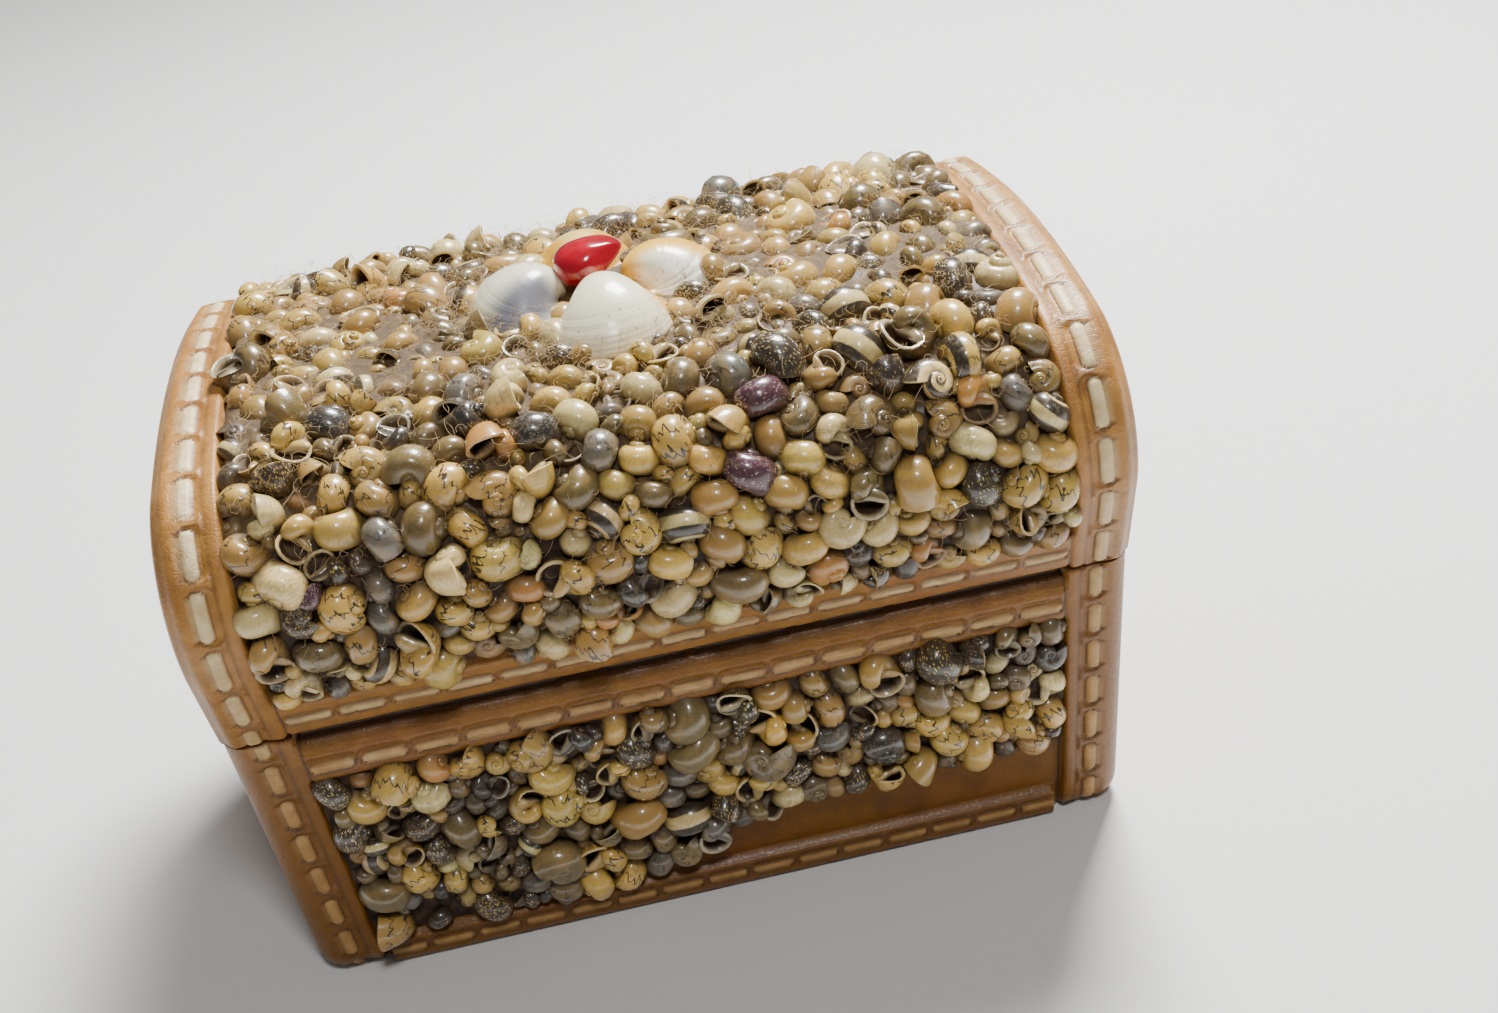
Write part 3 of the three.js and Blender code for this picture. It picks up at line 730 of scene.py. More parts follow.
def shell_form(whorl, rise, tall, wide, turns=2.8, lean=0.25, deck=0.1, flare=0.03, shoulder=2.2,
               narrow=0.2, rows=(5, 9, 20), girth_steps=14):
    """A coiled shell two units across: points, quads and pattern values.

    The coil grows by whorl each turn and ends at the mouth, which opens towards +y; the spire points
    to +z. deck is how far a flat inner lip closes the mouth, from -1 (open) to 1 (shut).
    """
    spans = zip((-turns, -2, -1), (-2, -1, 0), rows)
    turn = np.concatenate([np.linspace(start, end, steps + 1)[:-1] for start, end, steps in spans] + [[0]])
    around = np.radians(np.linspace(-152, 152, girth_steps))
    centre = wide * COIL_CENTRE
    section = coil_section(whorl, rise, tall, wide, lean, shoulder, narrow)
    swell = 1 + flare * np.clip((turn + 0.06) / 0.06, 0, 1)
    grown = whorl ** turn[:, None] * np.ones(len(around))
    length = grown * centre * 2 * math.pi / math.log(whorl)
    pattern = np.stack([length, grown * around * tall, np.broadcast_to(around, grown.shape)], axis=-1)
    parts = [([section(t, around, scale) for t, scale in zip(turn, swell)], False, np.zeros(len(turn))),
             (mouth_rows(section, girth_steps + 3, 1 + flare), True, MOUTH_LIP_AND_SHADE),
             (deck_rows(section, centre, wide, deck), False, DECK_LIP_AND_SHADE)]
    points, quads, inside, count = [], [], [], 0
    for part_rows, closed, dark in parts:
        grid = np.stack(part_rows)
        points.append(grid.reshape(-1, 3))
        quads.append(grid_quads(grid.shape[0], grid.shape[1], closed=closed) + count)
        inside.append(np.repeat(dark, grid.shape[1]))
        count += len(points[-1])
    points = np.concatenate(points)
    place = np.zeros((count, 3))
    place[:pattern.shape[0] * pattern.shape[1]] = pattern.reshape(-1, 3)
    low, high = points.min(axis=0), points.max(axis=0)
    size = (high - low).max() / 2
    return {"points": (points - (low + high) / 2) / size, "quads": np.concatenate(quads),
            "place": place / [size, size, 1], "inside": np.concatenate(inside)}


KINDS = [
    dict(whorl=3.3, rise=0.72, tall=0.62, wide=0.54, deck=0.4, narrow=0.24),
    dict(whorl=3.0, rise=0.80, tall=0.62, wide=0.52, deck=0.5, narrow=0.2),
    dict(whorl=3.7, rise=0.68, tall=0.66, wide=0.56, deck=0.35, lean=0.35, narrow=0.26),
    dict(whorl=2.7, rise=0.90, tall=0.62, wide=0.50, deck=0.45, shoulder=2.0, narrow=0.2),
    dict(whorl=2.4, rise=1.06, tall=0.60, wide=0.47, deck=0.15, shoulder=2.0, turns=3.4),
    dict(whorl=3.4, rise=0.66, tall=0.62, wide=0.57, deck=0.55, shoulder=2.0, narrow=0.24),
    dict(whorl=4.0, rise=0.62, tall=0.70, wide=0.55, deck=0.5, lean=0.3, narrow=0.28),
]
FORMS = [shell_form(**kind) for kind in KINDS]
PLAIN_FORMS = [shell_form(**kind, rows=(4, 7, 14), girth_steps=11) for kind in KINDS]
FORM_SHARES = (0.2, 0.2, 0.16, 0.15, 0.09, 0.06, 0.14)

# each pose's direction that points away from the box, then the poses' shares
UP = dict(back=(0.15, -0.9, 0.35), mouth=(0.1, 0.95, -0.15), spire=(0.2, -0.25, 0.95),
          side=(0.95, 0.1, 0.25), base=(0.3, 0.4, -0.85))
POSES = dict(back=0.54, mouth=0.19, spire=0.14, side=0.11, base=0.02)
SMALL_POSES = dict(back=0.75, spire=0.25)
SMALL = 2.0 * MM
PLAIN_FROM = 0.62 * Arch.length  # the lid's back, where shells are plainer
FULLNESS = 1.16  # a shell's half size against its circle's radius


def turn_to(local_up, spin, tilt, tilt_way):
    """A rotation that sends local_up to +z, then spins about +z, then tilts a little."""
    up = Vector(local_up).normalized()
    to_up = up.rotation_difference(Vector((0, 0, 1))).to_matrix()
    axis = Vector((math.cos(tilt_way), math.sin(tilt_way), 0))
    return np.array(Matrix.Rotation(tilt, 3, axis) @ Matrix.Rotation(spin, 3, "Z") @ to_up)


def marking(share, ground, zigzag=0.0, net=0.0, band=0.0, ink=(0.014, 0.012, 0.012)):
    return {"share": share, "ground": ground, "zigzag": zigzag, "net": net, "band": band, "ink": ink}


CREAM, IVORY, TAN = (0.76, 0.49, 0.09), (0.90, 0.71, 0.29), (0.48, 0.28, 0.055)
OLIVE, SLATE, ORANGE = (0.15, 0.11, 0.035), (0.12, 0.125, 0.11), (0.62, 0.27, 0.04)
MARKINGS = [
    marking(0.16, CREAM), marking(0.10, IVORY), marking(0.09, TAN), marking(0.04, ORANGE),
    marking(0.17, CREAM, zigzag=1.0), marking(0.08, TAN, zigzag=0.95), marking(0.08, OLIVE, zigzag=0.8),
    marking(0.06, OLIVE), marking(0.05, SLATE, zigzag=0.7), marking(0.04, IVORY, net=1.0),
    marking(0.04, CREAM, net=1.0, ink=(0.016, 0.014, 0.018)), marking(0.03, SLATE, net=0.9),
    marking(0.04, IVORY, band=1.0), marking(0.02, CREAM, band=1.0, zigzag=0.7),
    marking(0.003, (0.50, 0.36, 0.36), net=1.0, ink=(0.06, 0.015, 0.03)),
]


SETTLING_ROUNDS, SETTLING_PUSH = 90, 0.35
SMALLEST, LARGEST = 0.62, 1.5  # radii in means
GAP_OVERLAP, GAP_LARGEST = 0.95 * MM, 1.8 * MM


def packed_circles(seed, low, high, mean, share, allowed, keep_off):
    """Seeded circles spread evenly over a region: places (n, 2) and radii."""
    rng = np.random.default_rng(seed)
    low, high = np.array(low), np.array(high)
    trial = rng.uniform(low, high, (4000, 2))
    good = allowed(trial[:, 0], trial[:, 1])
    area = np.prod(high - low) * good.mean()
    places = trial[good][:int(share * area / (math.pi * mean ** 2 * 1.05))]
    radii = np.clip(rng.normal(mean, 0.2 * mean, len(places)), SMALLEST * mean, LARGEST * mean)
    itself = np.eye(len(places))
    for _ in range(SETTLING_ROUNDS):
        apart = places[:, None, :] - places[None, :, :]
        distance = np.hypot(apart[..., 0], apart[..., 1]) + itself
        overlap = np.clip(radii[:, None] + radii[None, :] - distance, 0, None) * (1 - itself)
        push = (apart / distance[..., None] * overlap[..., None]).sum(axis=1)
        places = keep_off(places + SETTLING_PUSH * push, radii)
    return places, radii


def gap_circles(seed, places, radii, low, high, allowed, count):
    """Small circles for the widest gaps between the others."""
    rng = np.random.default_rng(seed)
    trial = rng.uniform(low, high, (9000, 2))
    trial = trial[allowed(trial[:, 0], trial[:, 1])]
    apart = trial[:, None, :] - places[None, :, :]
    gap = np.min(np.hypot(apart[..., 0], apart[..., 1]) - radii[None, :], axis=1)
    chosen = []
    for _ in range(count):
        best = int(np.argmax(gap))
        small = gap[best] + GAP_OVERLAP
        chosen.append((trial[best, 0], trial[best, 1], min(small, GAP_LARGEST)))
        gap = np.minimum(gap, np.hypot(*(trial - trial[best]).T) - small)
    chosen = np.array(chosen)
    return chosen[:, :2], chosen[:, 2]


# up to the second height the shells darken towards the bed: painted shade in the crevices, with dust and felt
# on the lid's top
BED_TOP, DUST_AND_SHADE_TOP = 0.9 * MM, 3.8 * MM


class ShellPile(Gathered):
    """A piece made of many placed shells."""

    def add(self, form, turn, size, lift, place, style, tint, seed, dust):
        """Adds the part of a shell that shows above the bed; lift is its middle's height over the panel."""
        origin, axes = place
        local = form["points"] @ turn.T * size
        high = local[:, 2] + lift
        quads = form["quads"]
        quads = quads[(high[quads] > BED_TOP).any(axis=1)]
        used, index = np.unique(quads, return_inverse=True)
        total = len(used)
        marks = {name: np.full(total, style[name]) for name in ("zigzag", "net", "band")}
        # each shell's low part darkens towards the bed: painted shade in the crevices, plus the lid's dust
        # and felt
        self.gather((local @ axes + origin + axes[2] * lift)[used], index.reshape(-1, 4)[:, ::-1],
                    shell_place=form["place"][used] * [size / MM, size / MM, 1],
                    shell_seed=np.full(total, seed),
                    inside=form["inside"][used],
                    grime=np.clip(1 - smoothstep(high[used], 1.0 * MM, DUST_AND_SHADE_TOP) + dust, 0, 1),
                    ground=np.tile(np.array(style["ground"]) * tint, (total, 1)),
                    ink=np.tile(style["ink"], (total, 1)), **marks)


def choose(rng, shares):
    shares = np.array(shares, dtype=float)
    return int(rng.choice(len(shares), p=shares / shares.sum()))


def marking_shares(dark_share):
    """How often each marking comes; dark_share multiplies the dark and the netted ones."""
    return [m["share"] * (dark_share if max(m["ground"]) < 0.3 or m["net"] else 1) for m in MARKINGS]


def lay_shells(places, radii, lift, seed, pile_of, surface, dust_at, dark_share):
    """Places a shell on every circle, plainer ones where small or at the back."""
    rng = np.random.default_rng(seed)
    for (u, s), radius in zip(places, radii):
        plain = radius < SMALL or s > PLAIN_FROM
        form = (PLAIN_FORMS if plain else FORMS)[choose(rng, FORM_SHARES)]
        poses = POSES if radius > SMALL else SMALL_POSES
        pose = list(poses)[choose(rng, list(poses.values()))]
        spin = rng.uniform(0, 2 * math.pi)
        turn = turn_to(UP[pose], spin, abs(rng.normal(0, 0.22)), rng.uniform(0, 2 * math.pi))
        size = radius * FULLNESS
        reach = -(form["points"] @ turn.T)[:, 2].min() * size
        height = 0.86 * reach + rng.uniform(-1.1, -0.3) * MM + lift
        style = MARKINGS[choose(rng, marking_shares(dark_share))]
        tint = rng.uniform(0.78, 1.12) * (1 + rng.normal(0, 0.035, 3))
        own_seed = rng.uniform(0, 90)
        pile_of(u, s).add(form, turn, size, height, surface(u, s), style, tint, own_seed, dust_at(s))


def shell_material():
    """Varnished snail shells; each vertex carries its shell's colours, kinds of marking, and dust, felt and
    painted shade near the bed.
    """
    n = Nodes("snail_shell")
    place = n.attribute("shell_place", "Vector")
    seed = n.attribute("shell_seed")
    length, girth, around = n.add("SeparateXYZ", {0: place}).outputs
    where = n.joined(length, girth, seed)
    ground = n.attribute("ground", "Vector")
    ink = n.attribute("ink", "Vector")
    wobble = n.noise(where, 0.55, 2.0)
    jag = n.math("PINGPONG", n.times_add(wobble, 2.0, n.times(girth, 0.75)), 0.5)
    lines = n.math("ADD", n.times(length, 0.5), n.times(jag, 0.5))
    lines = n.times_add(wobble, 1.6, lines)
    strand = n.math("PINGPONG", lines, 0.5)
    broken = n.ramp(n.noise(where, 0.4, 1.0), 0.32, 0.38)
    zigzag = n.times(n.ramp(strand, 0.04, 0.085, 1.0, 0.0), broken)
    zigzag = n.times(zigzag, n.attribute("zigzag"))
    stretched = n.add("VectorMath", {0: where, 1: (2.5, 3.2, 1.0)}, operation="MULTIPLY").outputs[0]
    cells = n.add("TexVoronoi", {"Vector": stretched, "Scale": 1.0, "Randomness": 0.75}).outputs[0]
    net = n.times(n.ramp(cells, 0.22, 0.34), n.attribute("net"))
    ring = n.math("PINGPONG", n.times_add(wobble, 0.18, n.times(around, 0.62)), 0.5)
    band = n.times(n.ramp(ring, 0.2, 0.27), n.attribute("band"))
    marks = n.math("MAXIMUM", zigzag, n.math("MAXIMUM", net, band))
    along_rings = n.joined(n.times(length, 7.0), girth, seed)
    growth = n.noise(along_rings, 1.0, 3.0)
    base = n.patch(ground, (0.30, 0.19, 0.07), growth, 0.35, 0.7, 0.35)
    base = n.patch(base, (0.42, 0.26, 0.08), n.noise(where, 0.35, 2.0), 0.45, 0.7, 0.45)
    base = n.mix(n.times(marks, 0.96), base, ink)
    # pale lip at the mouth's edge; deeper in, a near-black brown that is painted shade inside the throat
    inside = n.attribute("inside")
    base = n.patch(base, n.mix(0.5, ground, (0.80, 0.66, 0.40)), inside, 0.0, 0.12)
    base = n.patch(base, (0.06, 0.026, 0.012), inside, 0.2, 0.8)
    # darkening near the bed: painted shade in the crevices, mixed with dust and felt on the lid
    grime = n.attribute("grime")
    patchy = n.ramp(n.noise(n.where, 150.0, 2.0), 0.42, 0.62, 0.1, 0.4)
    dusty = n.times(n.ramp(n.noise(n.where, 1500.0, 2.0), 0.48, 0.62), patchy)
    base = n.mix(dusty, base, (0.25, 0.18, 0.10))
    # the tint is near-black brown low down, painted shade between the shells, and beige felt on the lid's top
    on_top = n.ramp(n.height(), *FELT)
    felt_and_shade = n.mix(on_top, (0.040, 0.022, 0.011), (0.12, 0.072, 0.026))
    base = n.mix(n.times(grime, 0.92), base, felt_and_shade)
    bumps = n.bump(growth, 0.3, 0.14 * MM)
    return n.finish(Base_Color=base, Roughness=n.mix_value(n.math("ADD", grime, dusty), 0.28, 0.6),
                    Normal=bumps, Coat_Weight=n.mix_value(grime, 0.9, 0.35), Coat_Roughness=0.06,
                    soft=(0.1, (1.2, 0.8, 0.4)))

# ---- shells on the lid and the front ----

# each valve's place and size in mm, its turn in degrees, how strongly it ripples, and its tints: body, rim,
# patch, and the patch's angle and width
CLAMS = dict(
    clam_front=dict(at=(-0.5, -13.3), size=(17.4, 16.6, 6.3), turn=5, ripple=0.003,
                    tints=((0.94, 0.88, 0.62), (0.92, 0.78, 0.50), (0.88, 0.46, 0.03), 1.25, 1.1)),
    clam_left=dict(at=(-13.0, -2.3), size=(17.6, 14.6, 5.6), turn=-83, ripple=0.003,
                   tints=((0.80, 0.78, 0.58), (0.84, 0.62, 0.26), (0.17, 0.17, 0.20), 1.8, 1.2)),
    clam_right=dict(at=(9.6, -1.1), size=(15.8, 14.6, 5.1), turn=94, ripple=0.012,
                    tints=((0.90, 0.52, 0.05), (0.92, 0.78, 0.46), (0.94, 0.92, 0.78), 4.5, 1.2)),
    clam_back=dict(at=(-2.6, 9.1), size=(15.4, 14.2, 5.3), turn=183, ripple=0.003,
                   tints=((0.82, 0.42, 0.02), (0.80, 0.40, 0.03), (0.86, 0.60, 0.16), 3.1, 0.8)),
)
SEED_AT, SEED_SIZE, SEED_LIFT = (-1.8 * MM, -0.9 * MM), (10.4 * MM, 8.4 * MM, 6.5 * MM), 0.9 * MM
FLOWER_SEAT = 0.4 * MM  # the valves' rims over the crown
CLAM_GROUND, SEED_GROUND = 6.2 * MM, 7 * MM


def flower_circles(margin=0.0):
    """Place and radius of the ground that the clams, with a margin, and the seed cover."""
    clams = [(clam["at"][0] * MM, Arch.half + clam["at"][1] * MM, CLAM_GROUND + margin)
             for clam in CLAMS.values()]
    return clams + [(SEED_AT[0], Arch.half + SEED_AT[1], SEED_GROUND)]


def lid_allowed(u, s):
    circles = flower_circles(1.6 * MM)
    return np.all([np.hypot(u - x, s - y) > reach for x, y, reach in circles], axis=0)


def lid_keep(places, radii):
    u = np.clip(places[:, 0], -STRAP_INNER + 0.8 * radii, STRAP_INNER - 0.8 * radii)
    s = np.clip(places[:, 1], FIELD_LOW + 0.45 * radii, FIELD_HIGH - 0.45 * radii)
    for x, y, reach in flower_circles():
        du, ds = u - x, s - y
        distance = np.hypot(du, ds) + 1e-9
        push = np.maximum(reach + 0.62 * radii - distance, 0) / distance
        u, s = u + du * push, s + ds * push
    return np.column_stack([u, s])


def lid_surface(u, s):
    y, z, ny, nz = (float(v) for v in Arch.at(s))
    origin = lid_point(u, s, PANEL_SINK)
    return origin, np.array([[1, 0, 0], [0, nz, -ny], [0, ny, nz]])


def front_foot(u):
    """The lower edge of the shells on the front; it rises to leave a bare strip at the right."""
    return lerp(5.3 * MM, 14 * MM, smoothstep(u, -16 * MM, 14 * MM))


def front_allowed(u, w):
    return w > front_foot(u) + 1.6 * MM


def front_keep(places, radii):
    u = np.clip(places[:, 0], -STRAP_INNER + 0.85 * radii, STRAP_INNER - 0.85 * radii)
    w = np.clip(places[:, 1], front_foot(u) + 0.8 * radii, PANEL_HIGH - 0.7 * radii)
    return np.column_stack([u, w])


def front_face(u, w, depth):
    hx, hy = body_half(w)
    return np.stack([u / TOP_HALF_X * hx, depth - hy, w], axis=-1)


def front_surface(u, w):
    lean = math.atan2(TOP_HALF_Y - FOOT_HALF_Y, BODY_HEIGHT)
    c, s = math.cos(lean), math.sin(lean)
    return front_face(u, w, PANEL_SINK), np.array([[1, 0, 0], [0, -s, c], [0, -c, -s]])


PARTS = ("front_left", "front_right", "top_left", "top_right", "back")
LID_PILES = {part: ShellPile(f"lid_shells_{part}") for part in PARTS}
FRONT_PILE = ShellPile("front_shells")


def lid_pile(u, s):
    if s > 0.68 * Arch.length:
        return LID_PILES["back"]
    return LID_PILES[("front" if s < 0.36 * Arch.length else "top") + ("_right" if u > 0 else "_left")]


def lid_dust(s):
    return 0.02 + 0.06 * float(smoothstep(s, 0.25 * Arch.length, 0.45 * Arch.length))


LID_FIELD = dict(seeds=(7, 8, 21, 22), span=(FIELD_LOW, FIELD_HIGH), mean=2.6 * MM, share=0.97,
                 gaps=150, gap_lift=1.3 * MM, allowed=lid_allowed, keep_off=lid_keep,
                 surface=lid_surface, pile_of=lid_pile, dust_at=lid_dust, dark_share=1.0)
FRONT_FIELD = dict(seeds=(9, 10, 23, 24), span=(PANEL_LOW, PANEL_HIGH), mean=2.5 * MM, share=1.06,
                   gaps=50, gap_lift=1.1 * MM, allowed=front_allowed, keep_off=front_keep,
                   surface=front_surface, pile_of=lambda u, w: FRONT_PILE, dust_at=lambda w: 0.0,
                   dark_share=2.2)


def lay_field(seeds, span, mean, share, gaps, gap_lift, allowed, keep_off, **laying):
    """Packs a field with shells, then fills its widest gaps with small ones that stand higher."""
    low, high = (-STRAP_INNER + 2 * MM, span[0] + MM), (STRAP_INNER - 2 * MM, span[1] - MM)
    places, radii = packed_circles(seeds[0], low, high, mean, share, allowed, keep_off)
    small, small_radii = gap_circles(seeds[1], places, radii, low, high, allowed, gaps)
    lay_shells(places, radii, 0.0, seeds[2], **laying)
    lay_shells(small, small_radii, gap_lift, seeds[3], **laying)


lay_field(**LID_FIELD)
lay_field(**FRONT_FIELD)
shell_finish = shell_material()
lid_shells = [pile.build() for pile in LID_PILES.values()]
front_shells = FRONT_PILE.build()
for shells in lid_shells + [front_shells]:
    shells.data.materials.append(shell_finish)
    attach(shells, "root")
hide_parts("lid_shells")
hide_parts("front_shells")

# ---- glue bed ----


def glue_material():
    n = Nodes("glue_bed")
    grit = n.noise(n.where, 700.0, 3.0)
    on_top = n.ramp(n.height(), *FELT)
    # below the felt the bed is near black: partly the glue's own brown, partly painted shade deep between the
    # shells
    dark = n.mix(on_top, (0.018, 0.009, 0.004), (0.085, 0.050, 0.024))
    light = n.mix(on_top, (0.085, 0.045, 0.020), (0.13, 0.078, 0.024))
    base = n.mix(n.ramp(grit, 0.35, 0.7), dark, light)
    return n.finish(Base_Color=base, Roughness=0.8, Normal=n.bump(grit, 0.8, 0.3 * MM), Coat_Weight=0.1,
                    Coat_Roughness=0.2)


def bed_sheet(name, us, ss, thick, surface):
    """A lumpy sheet of glue over the panel; thick gives its height at each place."""
    u, s = np.meshgrid(us, ss)
    height = thick(u, s) + 0.25 * MM * soft_noise(u, s, 5, 5 * MM) * (thick(u, s) > 0.5 * MM)
    points = surface(u, s, PANEL_SINK - height)
    made = quad_mesh(name, points.reshape(-1, 3), grid_quads(len(ss), len(us)))
    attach(made, "root")
    return made


def lid_bed(u, s):
    edge = smoothstep(np.minimum(s - FIELD_LOW, FIELD_HIGH - s), -0.8 * MM, 0.6 * MM)
    on_top = smoothstep(s, 0.27 * Arch.length, 0.42 * Arch.length)
    on_top = on_top * (1 - smoothstep(s, 0.62 * Arch.length, 0.8 * Arch.length))
    thick = (1.1 + 1.2 * on_top) * MM
    return thick * edge * smoothstep(STRAP_INNER - np.abs(u), -0.3 * MM, 1.4 * MM)


def front_bed(u, w):
    return 1.0 * MM * smoothstep(w - front_foot(u), -0.6 * MM, 1.2 * MM) - 0.1 * MM


glue = glue_material()
beds = [bed_sheet("lid_glue", np.linspace(-STRAP_INNER - 0.1 * MM, STRAP_INNER + 0.1 * MM, 96),
                  np.linspace(FIELD_LOW - 0.2 * MM, FIELD_HIGH + 0.2 * MM, 104), lid_bed, lid_point),
        bed_sheet("front_glue", np.linspace(-STRAP_INNER, STRAP_INNER, 96),
                  np.linspace(PANEL_LOW, PANEL_HIGH + 0.2 * MM, 30), front_bed, front_face)]
for bed in beds:
    bed.data.materials.append(glue)

# ---- clam flower ----


def seat_height(y):
    """Height of the valves' rims at y, over the floor."""
    return float(Arch.at(Arch.half + y)[1]) + FLOWER_SEAT


def valve_grid(ripple):
    """A valve grown about its beak: each older rim is smaller and turned further up round the hinge.

    Gives its points row by row, the growth of each row and the angle of each column.
    """
    grown = np.concatenate([np.linspace(1.0, 0.12, 52), [0.10, 0.09]])
    around = np.linspace(0, 2 * math.pi, 65)[:-1]
    rim_x = 0.5 * np.sin(around) * (1 + 0.10 * np.cos(around) ** 2)
    rim_y = -0.5 + 0.5 * np.cos(around) + 0.10 + 0.03 * np.sin(around)
    curl = 1.38 * np.log(1 / grown)[:, None]
    waves = np.sin(2 * math.pi * (grown * 9 + 0.35 * np.sin(grown * 23)))
    scale = (grown * (1 + ripple * waves * smoothstep(grown, 0.3, 0.8)))[:, None]
    rows = np.stack([scale * rim_x, scale * rim_y * np.cos(curl), -scale * rim_y * np.sin(curl)], axis=-1)
    inner_edge = rows[:1] * [0.97, 0.98, 1.0] - [0, 0, 0.04]
    points = np.concatenate([inner_edge, rows])
    points[..., 2] = np.maximum(points[..., 2], -0.05)
    return points, np.concatenate([[1.02], grown]), around


def seat_valve(points, size, turn, at):
    """Gives a valve its size in mm, turns it and lays it on the crown."""
    low, high = points[1:].reshape(-1, 3).min(axis=0), points.reshape(-1, 3).max(axis=0)
    middle = (low + high) / 2
    reach = np.array([*(high - low)[:2], high[2]])
    points = (points - [middle[0], middle[1], 0]) * (np.array(size) / reach) * MM
    slope = -math.asin(at[1] * MM / Arch.crown_r)
    points = points @ np.array(Matrix.Rotation(math.radians(turn), 3, "Z")).T
    points = points @ np.array(Matrix.Rotation(slope, 3, "X")).T
    return points + [at[0] * MM, at[1] * MM, seat_height(at[1] * MM)]


def valve_tint(age, way, body, rim, patch, patch_way, patch_width):
    """A valve's colour: its body's, a broad patch round one angle, and its rim's."""
    gap = np.abs(np.angle(np.exp(1j * (way - patch_way))))
    weight = (1 - smoothstep(gap, 0.4 * patch_width, patch_width)) * smoothstep(age, 0.25, 0.5)
    tint = lerp(np.array(body), np.array(patch), weight[:, None])
    return lerp(tint, np.array(rim), (0.75 * smoothstep(age, 0.82, 1.0) * (1 - weight))[:, None])


def clam_valve(name, size, turn, at, ripple, tints):
    points, grown, around = valve_grid(ripple)
    points = seat_valve(points, size, turn, at)
    quads = grid_quads(len(grown), len(around), closed=True)[:, ::-1]
    made = quad_mesh(name + "_valve", points.reshape(-1, 3), quads)
    age = np.repeat(grown, len(around))
    way = np.tile(around, len(grown))
    set_values(made, "tint", valve_tint(age, way, *tints))
    set_values(made, "age", age)
    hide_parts(name)
    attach(made, "root")
    return made


def clam_material():
    """Porcelain-like valves with fine growth lines."""
    n = Nodes("clam_shell")
    age = n.attribute("age")
    warp = n.noise(n.where, 160.0, 2.0)
    rings = n.joined(n.times_add(warp, 0.25, n.times(age, 60.0)))
    lines = n.noise(rings, 1.0, 4.0)
    base = n.attribute("tint", "Vector")
    blush = n.noise(n.where, 120.0, 3.0)
    base = n.patch(base, (0.70, 0.50, 0.22), blush, 0.45, 0.8, 0.22)
    base = n.patch(base, n.mix(0.6, base, (0.42, 0.30, 0.18)), lines, 0.50, 0.70, 0.35)
    specks = n.ramp(n.noise(n.where, 900.0, 1.0), 0.72, 0.76)
    base = n.mix(n.times(specks, 0.6), base, (0.25, 0.13, 0.05))
    near_rim = n.ramp(age, 0.25, 0.9, 0.15, 1.0)
    bumps = n.bump(lines, n.times(near_rim, 0.5), 0.18 * MM)
    return n.finish(Base_Color=base, Roughness=0.3, Normal=bumps, Coat_Weight=0.5, Coat_Roughness=0.12,
                    soft=(0.3, (2, 1.4, 0.8)))


def seed_material():
    n = Nodes("red_seed")
    cloud = n.noise(n.where, 260.0, 3.0)
    base = n.mix(n.ramp(cloud, 0.35, 0.7), (0.44, 0.002, 0.016), (0.26, 0.001, 0.008))
    pits = n.noise(n.where, 1400.0, 2.0)
    base = n.patch(base, (0.12, 0.004, 0.004), pits, 0.7, 0.78, 0.6)
    bumps = n.bump(cloud, 0.3, 0.2 * MM)
    return n.finish(Base_Color=base, Roughness=0.16, Normal=bumps, Coat_Weight=1.0, Coat_Roughness=0.05,
                    soft=(0.08, (1, 0.1, 0.1)))


def make_seed():
    """A teardrop bean: round at the left, drawn to a faceted point at the right."""
    along = np.linspace(0, 1, 41)
    around = np.linspace(0, 2 * math.pi, 49)[:-1]
    swell = along ** 0.42 * (1 - along) ** 0.66
    swell = swell / swell.max()
    facets = 0.17 * smoothstep(along, 0.45, 0.85)[:, None] * np.abs(np.sin(2.5 * around + 0.6))[None, :]
    radius = swell[:, None] * (1 - facets)
    x = np.broadcast_to((along - 0.5)[:, None], radius.shape)
    y, z = 0.5 * radius * np.cos(around), 0.5 * radius * np.sin(around)
    lift, fall = (smoothstep(along, start, 1.0)[:, None] for start in (0.35, 0.5))
    z = z + 0.14 * lift - 0.05 * np.abs(y) * fall
    points = np.stack([x, y, z], axis=-1) * SEED_SIZE
    points = points @ np.array(Matrix.Rotation(math.radians(-6), 3, "Y")).T
    points = points + [SEED_AT[0], SEED_AT[1], seat_height(SEED_AT[1]) + 0.5 * SEED_SIZE[2] + SEED_LIFT]
    made = quad_mesh("red_bean", points.reshape(-1, 3), grid_quads(len(along), len(around), closed=True))
    made.data.materials.append(seed_material())
    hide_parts("red_seed")
    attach(made, "root")


clam_finish = clam_material()
for clam, facts in CLAMS.items():
    clam_valve(clam, **facts).data.materials.append(clam_finish)
make_seed()

# ---- fibres caught between the shells ----


def fibre_material():
    n = Nodes("dusty_fibres")
    base = n.mix(n.noise(n.where, 300.0, 2.0), (0.42, 0.28, 0.13), (0.20, 0.12, 0.05))
    return n.finish(Base_Color=base, Roughness=0.9)


FIBRES = 11000
FIBRE_HALF_WIDE = 0.030 * MM
FIBRE_POINTS = 5


def fibre_places(rng):
    """Where the fibres lie: most round the flower, some over the rest of the lid's top."""
    tries = 4 * FIBRES
    u = rng.uniform(-STRAP_INNER + 2 * MM, STRAP_INNER - 2 * MM, tries)
    s = rng.uniform(FIELD_LOW + 3 * MM, FIELD_HIGH - 3 * MM, tries)
    from_flower = np.hypot(u - SEED_AT[0], s - Arch.half - SEED_AT[1])
    front_side = smoothstep(s, 0.2 * Arch.length, 0.42 * Arch.length)
    on_top = front_side * (1 - smoothstep(s, 0.7 * Arch.length, Arch.length))
    chance = 0.06 + 0.5 * on_top * (0.35 + hump(from_flower, 17 * MM, 9 * MM))
    kept = rng.uniform(0, 1, tries) < chance * (0.6 + 0.6 * (soft_noise(u, s, 41, 14 * MM) > 0))
    return u[kept][:FIBRES], s[kept][:FIBRES]


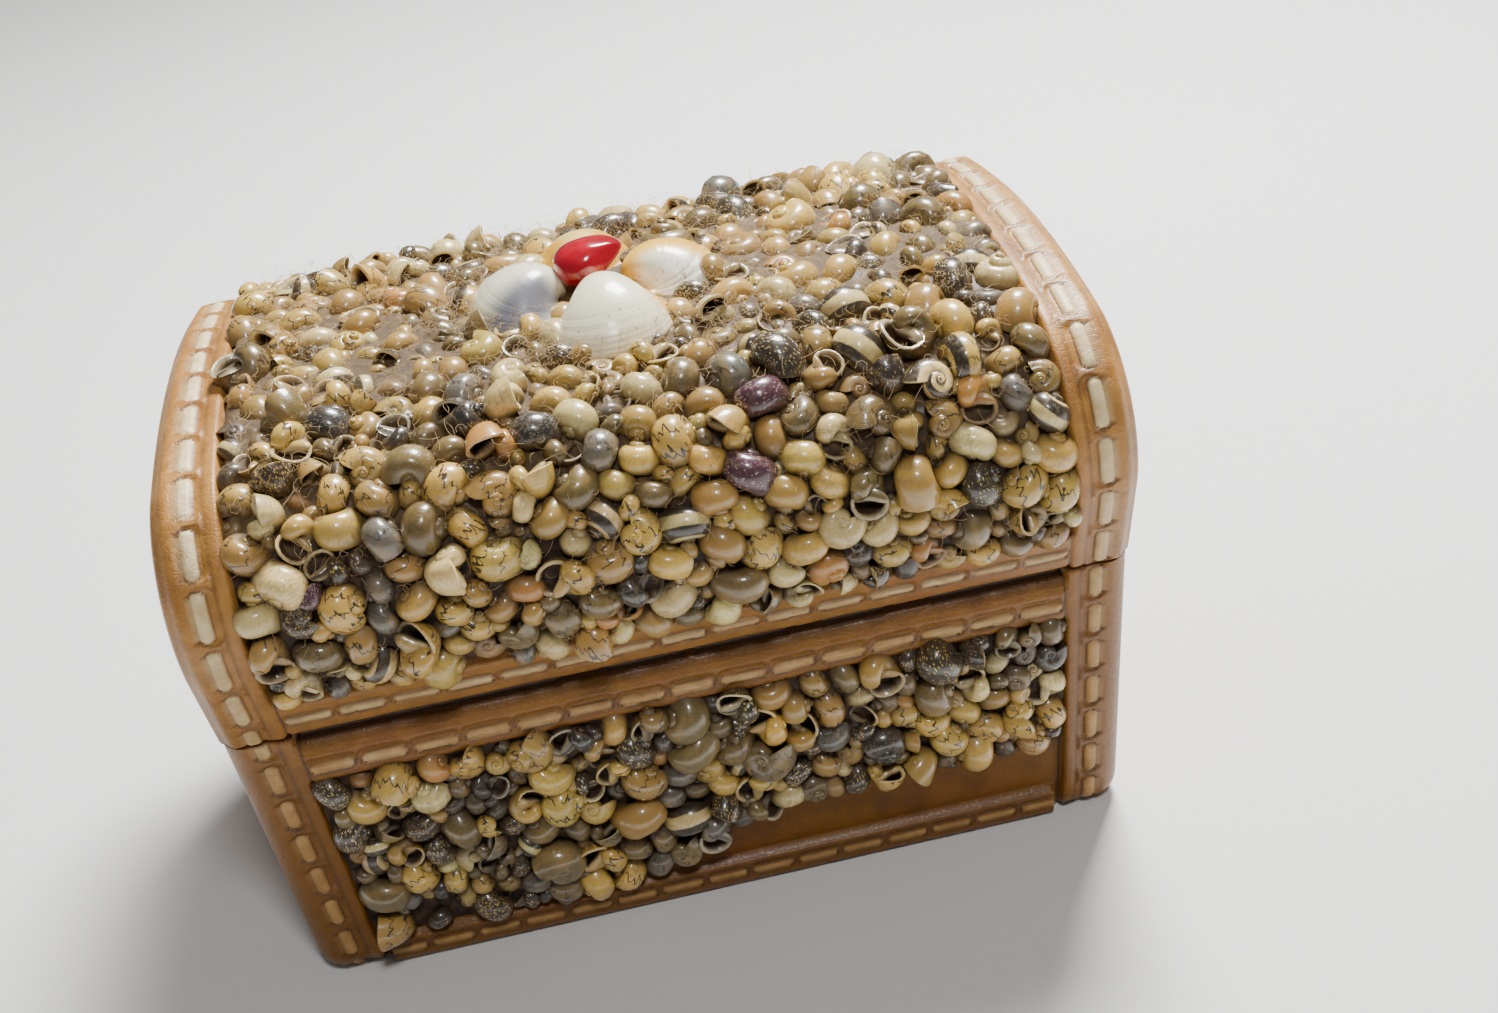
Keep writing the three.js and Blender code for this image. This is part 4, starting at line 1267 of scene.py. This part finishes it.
def make_fibres():
    """Fine curled fibres, each a narrow ribbon that bends in the shells' surface and arches over it."""
    rng = np.random.default_rng(31)
    u, s = fibre_places(rng)
    count = len(u)
    way = rng.uniform(0, 2 * math.pi, count)
    bend = rng.normal(0, 1.6, count)
    long = rng.uniform(1.0, 3.6, count) * MM
    height = rng.uniform(1.6, 5.2, count) * MM
    rise = rng.normal(0, 0.5, count) * MM
    rows = []
    for side in (-FIBRE_HALF_WIDE, FIBRE_HALF_WIDE):
        for t in np.linspace(-0.5, 0.5, FIBRE_POINTS):
            turn = way + bend * t
            du = long * t * np.cos(turn) - side * np.sin(turn)
            ds = long * t * np.sin(turn) + side * np.cos(turn)
            rows.append(lid_point(u + du, s + ds, PANEL_SINK - height - rise * (1 - 4 * t * t)))
    points = np.stack(rows, axis=1).reshape(-1, 3)
    first = np.arange(count)[:, None] * 2 * FIBRE_POINTS + np.arange(FIBRE_POINTS - 1)[None, :]
    across = FIBRE_POINTS
    quads = np.stack([first, first + 1, first + across + 1, first + across], axis=-1)
    made = quad_mesh("lid_fibres", points, quads.reshape(-1, 4))
    made.data.materials.append(fibre_material())
    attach(made, "root")


make_fibres()

# ---- floor and light ----


def make_stage():
    floor = quad_mesh("floor", [(-3, -3, 0), (3, -3, 0), (3, 3, 0), (-3, 3, 0)], [(0, 1, 2, 3)])
    n = Nodes("pale_floor")
    floor.data.materials.append(n.finish(Base_Color=(0.80, 0.79, 0.77), Roughness=0.9))
    world = bpy.data.worlds.new("studio")
    world.use_nodes = True
    world.node_tree.nodes["Background"].inputs[0].default_value = (0.93, 0.96, 1.0, 1.0)
    world.node_tree.nodes["Background"].inputs[1].default_value = 0.15
    bpy.context.scene.world = world


def area_light(name, place, aim, size, power, tint=(1, 1, 1)):
    data = bpy.data.lights.new(name, "AREA")
    data.size, data.energy, data.color = size, power, tint
    lamp = bpy.data.objects.new(name, data)
    lamp.location = place
    lamp.rotation_euler = (Vector(aim) - Vector(place)).to_track_quat("-Z", "Y").to_euler()
    bpy.context.scene.collection.objects.link(lamp)


make_stage()
area_light("key", (0.20, 0.30, 0.62), (0, 0, 0.05), 0.22, 15.5)
area_light("front", (0.06, -0.40, 0.66), (0, 0, 0.04), 0.12, 2.0)
